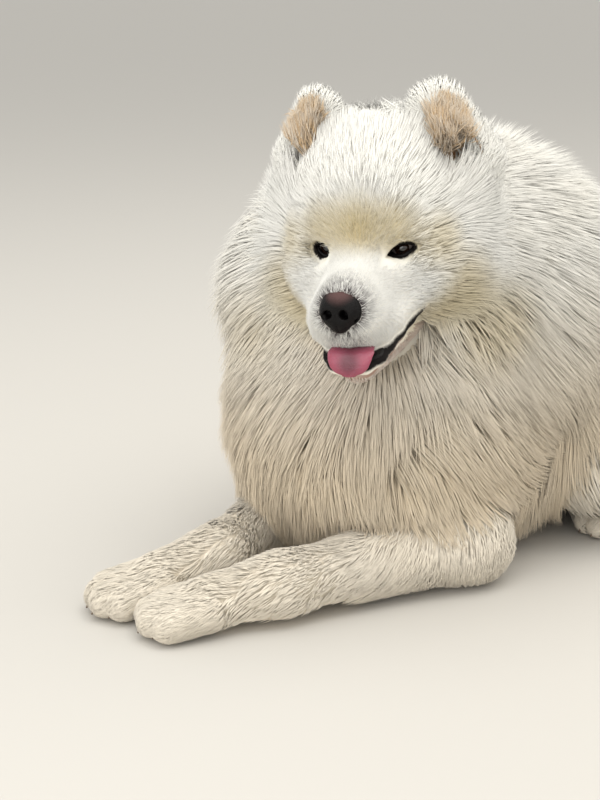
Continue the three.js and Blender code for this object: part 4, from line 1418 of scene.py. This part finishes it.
# Solid tubes
# The lid rims, lips, tongue and claws are bent tapering tubes, rounded at both ends.
def tube(name, path, wide, thick, sides=12, per_step=6, up=(0.0, 0.0, 1.0), shape=None):
    path = np.asarray(path, float)
    steps = np.linspace(0, len(path) - 1, (len(path) - 1) * per_step + 1)
    knots = np.arange(len(path))
    line = np.stack([smooth_run(path[:, i], steps) for i in range(3)], 1)
    half_wide, half_thick = np.interp(steps, knots, wide), np.interp(steps, knots, thick)
    ahead = unit(np.gradient(line, axis=0))
    across = unit(np.cross(ahead, up))
    lift = np.cross(across, ahead)
    cap = np.linspace(0, 1, 5)[1:]
    start = [(0, -c) for c in cap[::-1]]
    end = [(len(line) - 1, c) for c in cap]
    rings = []
    turns = np.linspace(0, 2 * math.pi, sides, endpoint=False)
    for row, beyond in start + [(i, 0.0) for i in range(len(line))] + end:
        size = math.sqrt(max(1 - beyond * beyond, 0.0004))
        middle = line[row] + ahead[row] * beyond * min(half_wide[row], half_thick[row])
        ring = (middle + np.outer(np.cos(turns), across[row]) * half_wide[row] * size
                + np.outer(np.sin(turns), lift[row]) * half_thick[row] * size)
        if shape is not None:
            ring = ring + np.outer(shape(row / (len(line) - 1), turns) * size, lift[row])
        rings.append(ring)
    count = len(rings)
    points = np.concatenate(rings)
    index = np.arange(count * sides).reshape(count, sides)
    beside = np.roll(index, -1, axis=1)
    quads = np.stack([index[:-1], beside[:-1], beside[1:], index[1:]], -1).reshape(-1, 4)
    made = mesh_object(name, points, quads)
    closed = bmesh.new()
    closed.from_mesh(made.data)
    bmesh.ops.holes_fill(closed, edges=closed.edges, sides=sides)
    bmesh.ops.recalc_face_normals(closed, faces=closed.faces)
    closed.to_mesh(made.data)
    closed.free()
    made.data.shade_smooth()
    return made


def smooth_run(values, steps):
    padded = np.concatenate([[2 * values[0] - values[1]], values, [2 * values[-1] - values[-2]]])
    base = np.minimum(steps.astype(int), len(values) - 2)
    t = steps - base
    a, b, c, d = (padded[base + k] for k in range(4))
    return 0.5 * (2 * b + (c - a) * t + (2 * a - 5 * b + 4 * c - d) * t ** 2
                  + (3 * b - a - 3 * c + d) * t ** 3)


# Eyes
# Wet, dark brown eyes with a black pupil and a thin grey-white margin, each a ball with a bulging
# cornea behind black, hairless lid rims.
PUPIL = 3.0
IRIS = 7.4
EYE_MARGIN = "#8E8480"
IRIS_BROWN = "#23130B"
PUPIL_BLACK = "#050404"
RIM_BLACK = "#100C0B"
GAZE = (0.0, -1.0, 0.0)
CORNEA_EDGE = 0.82
CORNEA_RISE = 1.1


def eye_material(side):
    material, tree, shader = new_material(f"wet_dark_eye_{'left' if side > 0 else 'right'}", {
        "Roughness": 0.06, "Coat Weight": 1.0, "Coat Roughness": 0.02,
    })
    place = place_in(tree)
    front = eye_middle(side) + eye_frame(side) @ np.array((0.0, -EYE_BALL, 0.0))
    centre = in_scene(from_head(front))
    iris = nearness(tree, place, centre, IRIS - 0.4, IRIS + 0.4)
    pupil = nearness(tree, place, centre, PUPIL - 0.3, PUPIL + 0.3)
    colour = blended(tree, iris, linear(EYE_MARGIN), linear(IRIS_BROWN))
    colour = blended(tree, pupil, colour, linear(PUPIL_BLACK))
    tree.links.new(colour, shader.inputs["Base Color"])
    return material


rim_material, rim_tree, rim_shader = new_material("black_lid_and_lip_skin", {
    "Base Color": linear(RIM_BLACK), "Roughness": 0.45, "Specular IOR Level": 0.22,
})
rim_noise = add(rim_tree, "ShaderNodeTexNoise", {"Scale": 900.0, "Detail": 2.0})
rim_bump = add(rim_tree, "ShaderNodeBump", {
    "Strength": 0.3, "Distance": 0.0003, "Height": rim_noise.outputs[0],
})
rim_tree.links.new(rim_bump.outputs[0], rim_shader.inputs["Normal"])

for word, side in SIDES.items():
    globe = bmesh.new()
    bmesh.ops.create_uvsphere(globe, u_segments=48, v_segments=32, radius=EYE_BALL)
    globe.verts.index_update()
    spots = np.array([vertex.co for vertex in globe.verts])
    faces = [[vertex.index for vertex in face.verts] for face in globe.faces]
    globe.free()
    bulge = np.clip((unit(spots) @ np.array(GAZE) - CORNEA_EDGE) / 0.18, 0, 1) ** 0.8
    spots *= (1 + CORNEA_RISE / EYE_BALL * bulge)[:, None]
    placed = in_scene(from_head(eye_middle(side) + spots @ eye_frame(side).T))
    # The faces come in another order in each run, so they are put in order here
    starts = [face.index(min(face)) for face in faces]
    faces = sorted(face[start:] + face[:start] for face, start in zip(faces, starts))
    eye_mesh = bpy.data.meshes.new(f"eyeball_{word}")
    eye_mesh.from_pydata(placed.tolist(), [], faces)
    eye_mesh.shade_smooth()
    eyeball = new_object(f"eyeball_{word}", eye_mesh)
    attach(eyeball, eye_material(side), "eye", f"eye_{word}")

    for lid, lift in (("upper", 1), ("lower", -1)):
        x = np.linspace(-EYE_HALF[side], EYE_HALF[side], 13)
        z = lift * EYE_OPEN[side] * (1 - (x / EYE_HALF[side]) ** 2)
        radius = EYE_LID + 0.1
        y = -np.sqrt(radius ** 2 - x ** 2 - z ** 2)
        edge = np.stack([x, y, z], 1)
        edge[0 if side > 0 else -1] += (-3.0 * side, 1.5, -1.5)
        edge = from_head(eye_middle(side) + edge @ eye_frame(side).T)
        thick = 1.3 + 0.7 * (1 - (x / EYE_HALF[side]) ** 2)
        rim = tube(f"{lid}_lid_rim_{word}", edge, thick, thick, sides=10, per_step=3)
        attach(rim, rim_material, "nose_leather")


# Nose
# A pad of thick, pebbled, hairless skin, black with a pinkish brown top, and two comma-shaped
# nostrils either side of the groove that runs down to the lip.
def nose_field(points):
    local = into_head(points)
    pad = nose_pad(local, 0.0)
    for hollow, melt in ((nostrils, 2.0), (groove, 1.2)):
        pad = -joined(-pad, hollow(local), melt)
    return pad


NOSE_STEP = 0.7
NOSE_BLACK = "#0A0808"
NOSE_TOP_BROWN = "#654A48"
NOSE_PATCHES = "#080606"
nose_box = head_box((-24, 24), (-106, -70), (-66, -18))
nose = net_object("nose_pad", nose_field, nose_box, NOSE_STEP)


def pebbled(tree, place, scale, strength, distance):
    grains = add(tree, "ShaderNodeTexVoronoi", {"Vector": place, "Scale": scale}, feature="F1")
    return add(tree, "ShaderNodeBump", {
        "Strength": strength, "Distance": distance, "Height": grains.outputs[0],
    }, invert=True).outputs[0]


def nose_material():
    material, tree, shader = new_material("pebbled_nose_leather", {
        "Roughness": 0.45, "Specular IOR Level": 0.16,
    })
    place = place_in(tree)
    bump = pebbled(tree, place, 900.0, 0.7, 0.0006)
    top = nearness(tree, place, in_scene(from_head((-1, -92, -22))), 6, 17)
    patchy = noise(tree, place, 260.0, 3.0)
    colour = blended(tree, scaled(tree, top, 0.85), linear(NOSE_BLACK), linear(NOSE_TOP_BROWN))
    colour = blended(tree, scaled(tree, patchy, 0.4), colour, linear(NOSE_PATCHES))
    tree.links.new(colour, shader.inputs["Base Color"])
    tree.links.new(bump, shader.inputs["Normal"])
    return material


attach(nose, nose_material(), "nose_leather", "nose")


# Mouth
# Black rubbery lips edge the open mouth, and a pink tongue hangs over the lower lip. It is
# hollowed along its middle, and painted shade darkens that hollow and the top of the tongue
# towards its root, where the upper lip shades it.
def tongue_shape(share, turns):
    top = np.clip(np.sin(turns), 0, 1) ** 2
    return -1.6 * top * np.exp(-(np.cos(turns) / 0.3) ** 2) * (0.4 + 0.6 * share)


tongue = tube("tongue_blade", from_head(TONGUE_PATH), TONGUE_HALF_WIDE, TONGUE_HALF_THICK, sides=40,
              per_step=12, up=head_axes @ np.array((0.0, -0.35, 1.0)), shape=tongue_shape)


TONGUE_PINK = "#98495C"
TONGUE_HOLLOW_SHADE = "#572A36"
TONGUE_UNDER_LIP_SHADE = "#30141C"


def tongue_material():
    material, tree, shader = new_material("wet_tongue", {
        "Roughness": 0.32, "Subsurface Weight": 0.15, "Subsurface Radius": (0.004, 0.0015, 0.001),
    })
    place = place_in(tree)
    bump = pebbled(tree, place, 700.0, 0.45, 0.0005)
    # Painted shade: the tongue's top under the upper lip and its hollow middle are darkened
    deep = nearness(tree, place, in_scene(from_head((5, -72, -74))), 8, 26)
    middle = nearness(tree, place, in_scene(from_head((5, -94, -88))), 3, 15)
    colour = blended(tree, scaled(tree, middle, 0.8), linear(TONGUE_PINK), linear(TONGUE_HOLLOW_SHADE))
    colour = blended(tree, scaled(tree, deep, 0.8), colour, linear(TONGUE_UNDER_LIP_SHADE))
    tree.links.new(colour, shader.inputs["Base Color"])
    tree.links.new(bump, shader.inputs["Normal"])
    return material


attach(tongue, tongue_material(), "tongue", "tongue")


def lip_field(points):
    local = into_head(points)
    height = above_mouth(local)
    slab = np.maximum(np.maximum(height - 0.9, -height - 7), local[:, 1] - MOUTH_CORNER[1] - 10)
    return np.maximum(jaw_flesh(local, 0.0) + 0.3, slab)


LIP_STEP = 1.6
lip_box = head_box((-62, 62), (-96, 24), (-112, -40))
lower_lip = net_object("lower_lip_and_gum", lip_field, lip_box, LIP_STEP)
attach(lower_lip, rim_material, "nose_leather", "lower_lip")


# The palate, gums and cheeks inside the mouth are black and lie back from the lips
def mouth_lining(points):
    local = into_head(points)
    height = above_mouth(local)
    flat = local.copy()
    flat[:, 2] = MOUTH_CORNER[2] + (local[:, 1] - MOUTH_CORNER[1]) * math.tan(mouth_slope) - 7
    deep = np.maximum(jaw_flesh(flat, 0.0) + 4.5, -56 - local[:, 1])
    return np.maximum(deep, np.maximum(height - 13, -6 - height))


lining = net_object("mouth_lining", mouth_lining, lip_box, LIP_STEP)
attach(lining, rim_material, "nose_leather")

LIP_HALF_THICK = (1.4, 1.9, 2.3, 2.4, 2.2, 1.8, 1.6)
for word, side in SIDES.items():
    line = lip_line(UPPER_LIP, side) + (side, 0, -4.8)
    lip = tube(f"upper_lip_{word}", from_head(line), LIP_HALF_THICK, LIP_HALF_THICK, sides=10,
               per_step=4)
    attach(lip, rim_material, "nose_leather")

# Claws
# Blunt, dark horn, one at the tip of each toe, curved down to the floor.
HORN_DARK = "#3B312A"
HORN_PALE = "#8A7864"
CLAW_STEPS = (0, 3.5, 7)
CLAW_HEIGHTS = 15 - 2.2 * np.arange(3) ** 2
claw_material, claw_tree, claw_shader = new_material("dark_claw_horn", {"Roughness": 0.35})
claw_grain = noise(claw_tree, place_in(claw_tree), 300.0, 4.0)
claw_colour = blended(claw_tree, claw_grain, linear(HORN_DARK), linear(HORN_PALE))
claw_tree.links.new(claw_colour, claw_shader.inputs["Base Color"])
for word, foot in feet.items():
    run, across = paw_run(foot), paw_across(foot)
    for i, (offset, reach) in enumerate(zip(TOE_SPREAD, TOE_REACH)):
        base = np.array(foot["toes"]) + across * offset + run * (reach + 0.5)
        path = base + np.outer(CLAW_STEPS, run)
        path[:, 2] = CLAW_HEIGHTS
        claw = tube(f"horn_{word}_{i + 1}", path, (2.8, 2.2, 0.8), (3.2, 2.4, 0.8), per_step=5)
        attach(claw, claw_material, "claw", f"claw_{word}_{i + 1}")

# Floor and light
# A pale matt floor under three large soft lamps: one behind the dog's left shoulder brightens
# the mane, one overhead lights the back and the forelegs, and one in front fills the face.
FLOOR_HALF = 40.0
FLOOR_GREY = "#C4C1BB"
floor_mesh = bpy.data.meshes.new("floor")
floor_mesh.from_pydata([(x * FLOOR_HALF, y * FLOOR_HALF, 0)
                        for x, y in ((-1, -1), (1, -1), (1, 1), (-1, 1))], [], [(0, 1, 2, 3)])
floor = new_object("floor", floor_mesh)
floor_look = new_material("pale_matt_floor", {"Base Color": linear(FLOOR_GREY), "Roughness": 0.9})
floor_mesh.materials.append(floor_look[0])


def soft_lamp(name, at, aim, size, power, colour):
    data = bpy.data.lights.new(name, "AREA")
    data.shape = "DISK"
    data.size = size
    data.energy = power
    data.color = linear(colour)[:3]
    lamp = new_object(name, data)
    lamp.location = at
    lamp.rotation_euler = (Vector(aim) - Vector(at)).to_track_quat("-Z", "Y").to_euler()


# Place, aim, size in metres, watts and colour
soft_lamp("key_lamp", (0.9, 1.1, 2.6), (0.05, -0.1, 0.3), 2.6, 27.0, "#FFFAF2")
soft_lamp("top_lamp", (0.3, -0.6, 2.9), (0.05, -0.1, 0.2), 3.0, 42.0, "#FFFDF8")
soft_lamp("fill_lamp", (0.9, -2.4, 1.4), (0.05, -0.1, 0.3), 2.8, 31.0, "#FFFDFA")
world = bpy.data.worlds.new("studio")
world.use_nodes = True
backdrop = world.node_tree.nodes["Background"]
backdrop.inputs["Color"].default_value = linear("#F0EFEC")
backdrop.inputs["Strength"].default_value = 1.0
bpy.context.scene.world = world
bpy.context.scene.view_settings.view_transform = "Standard"
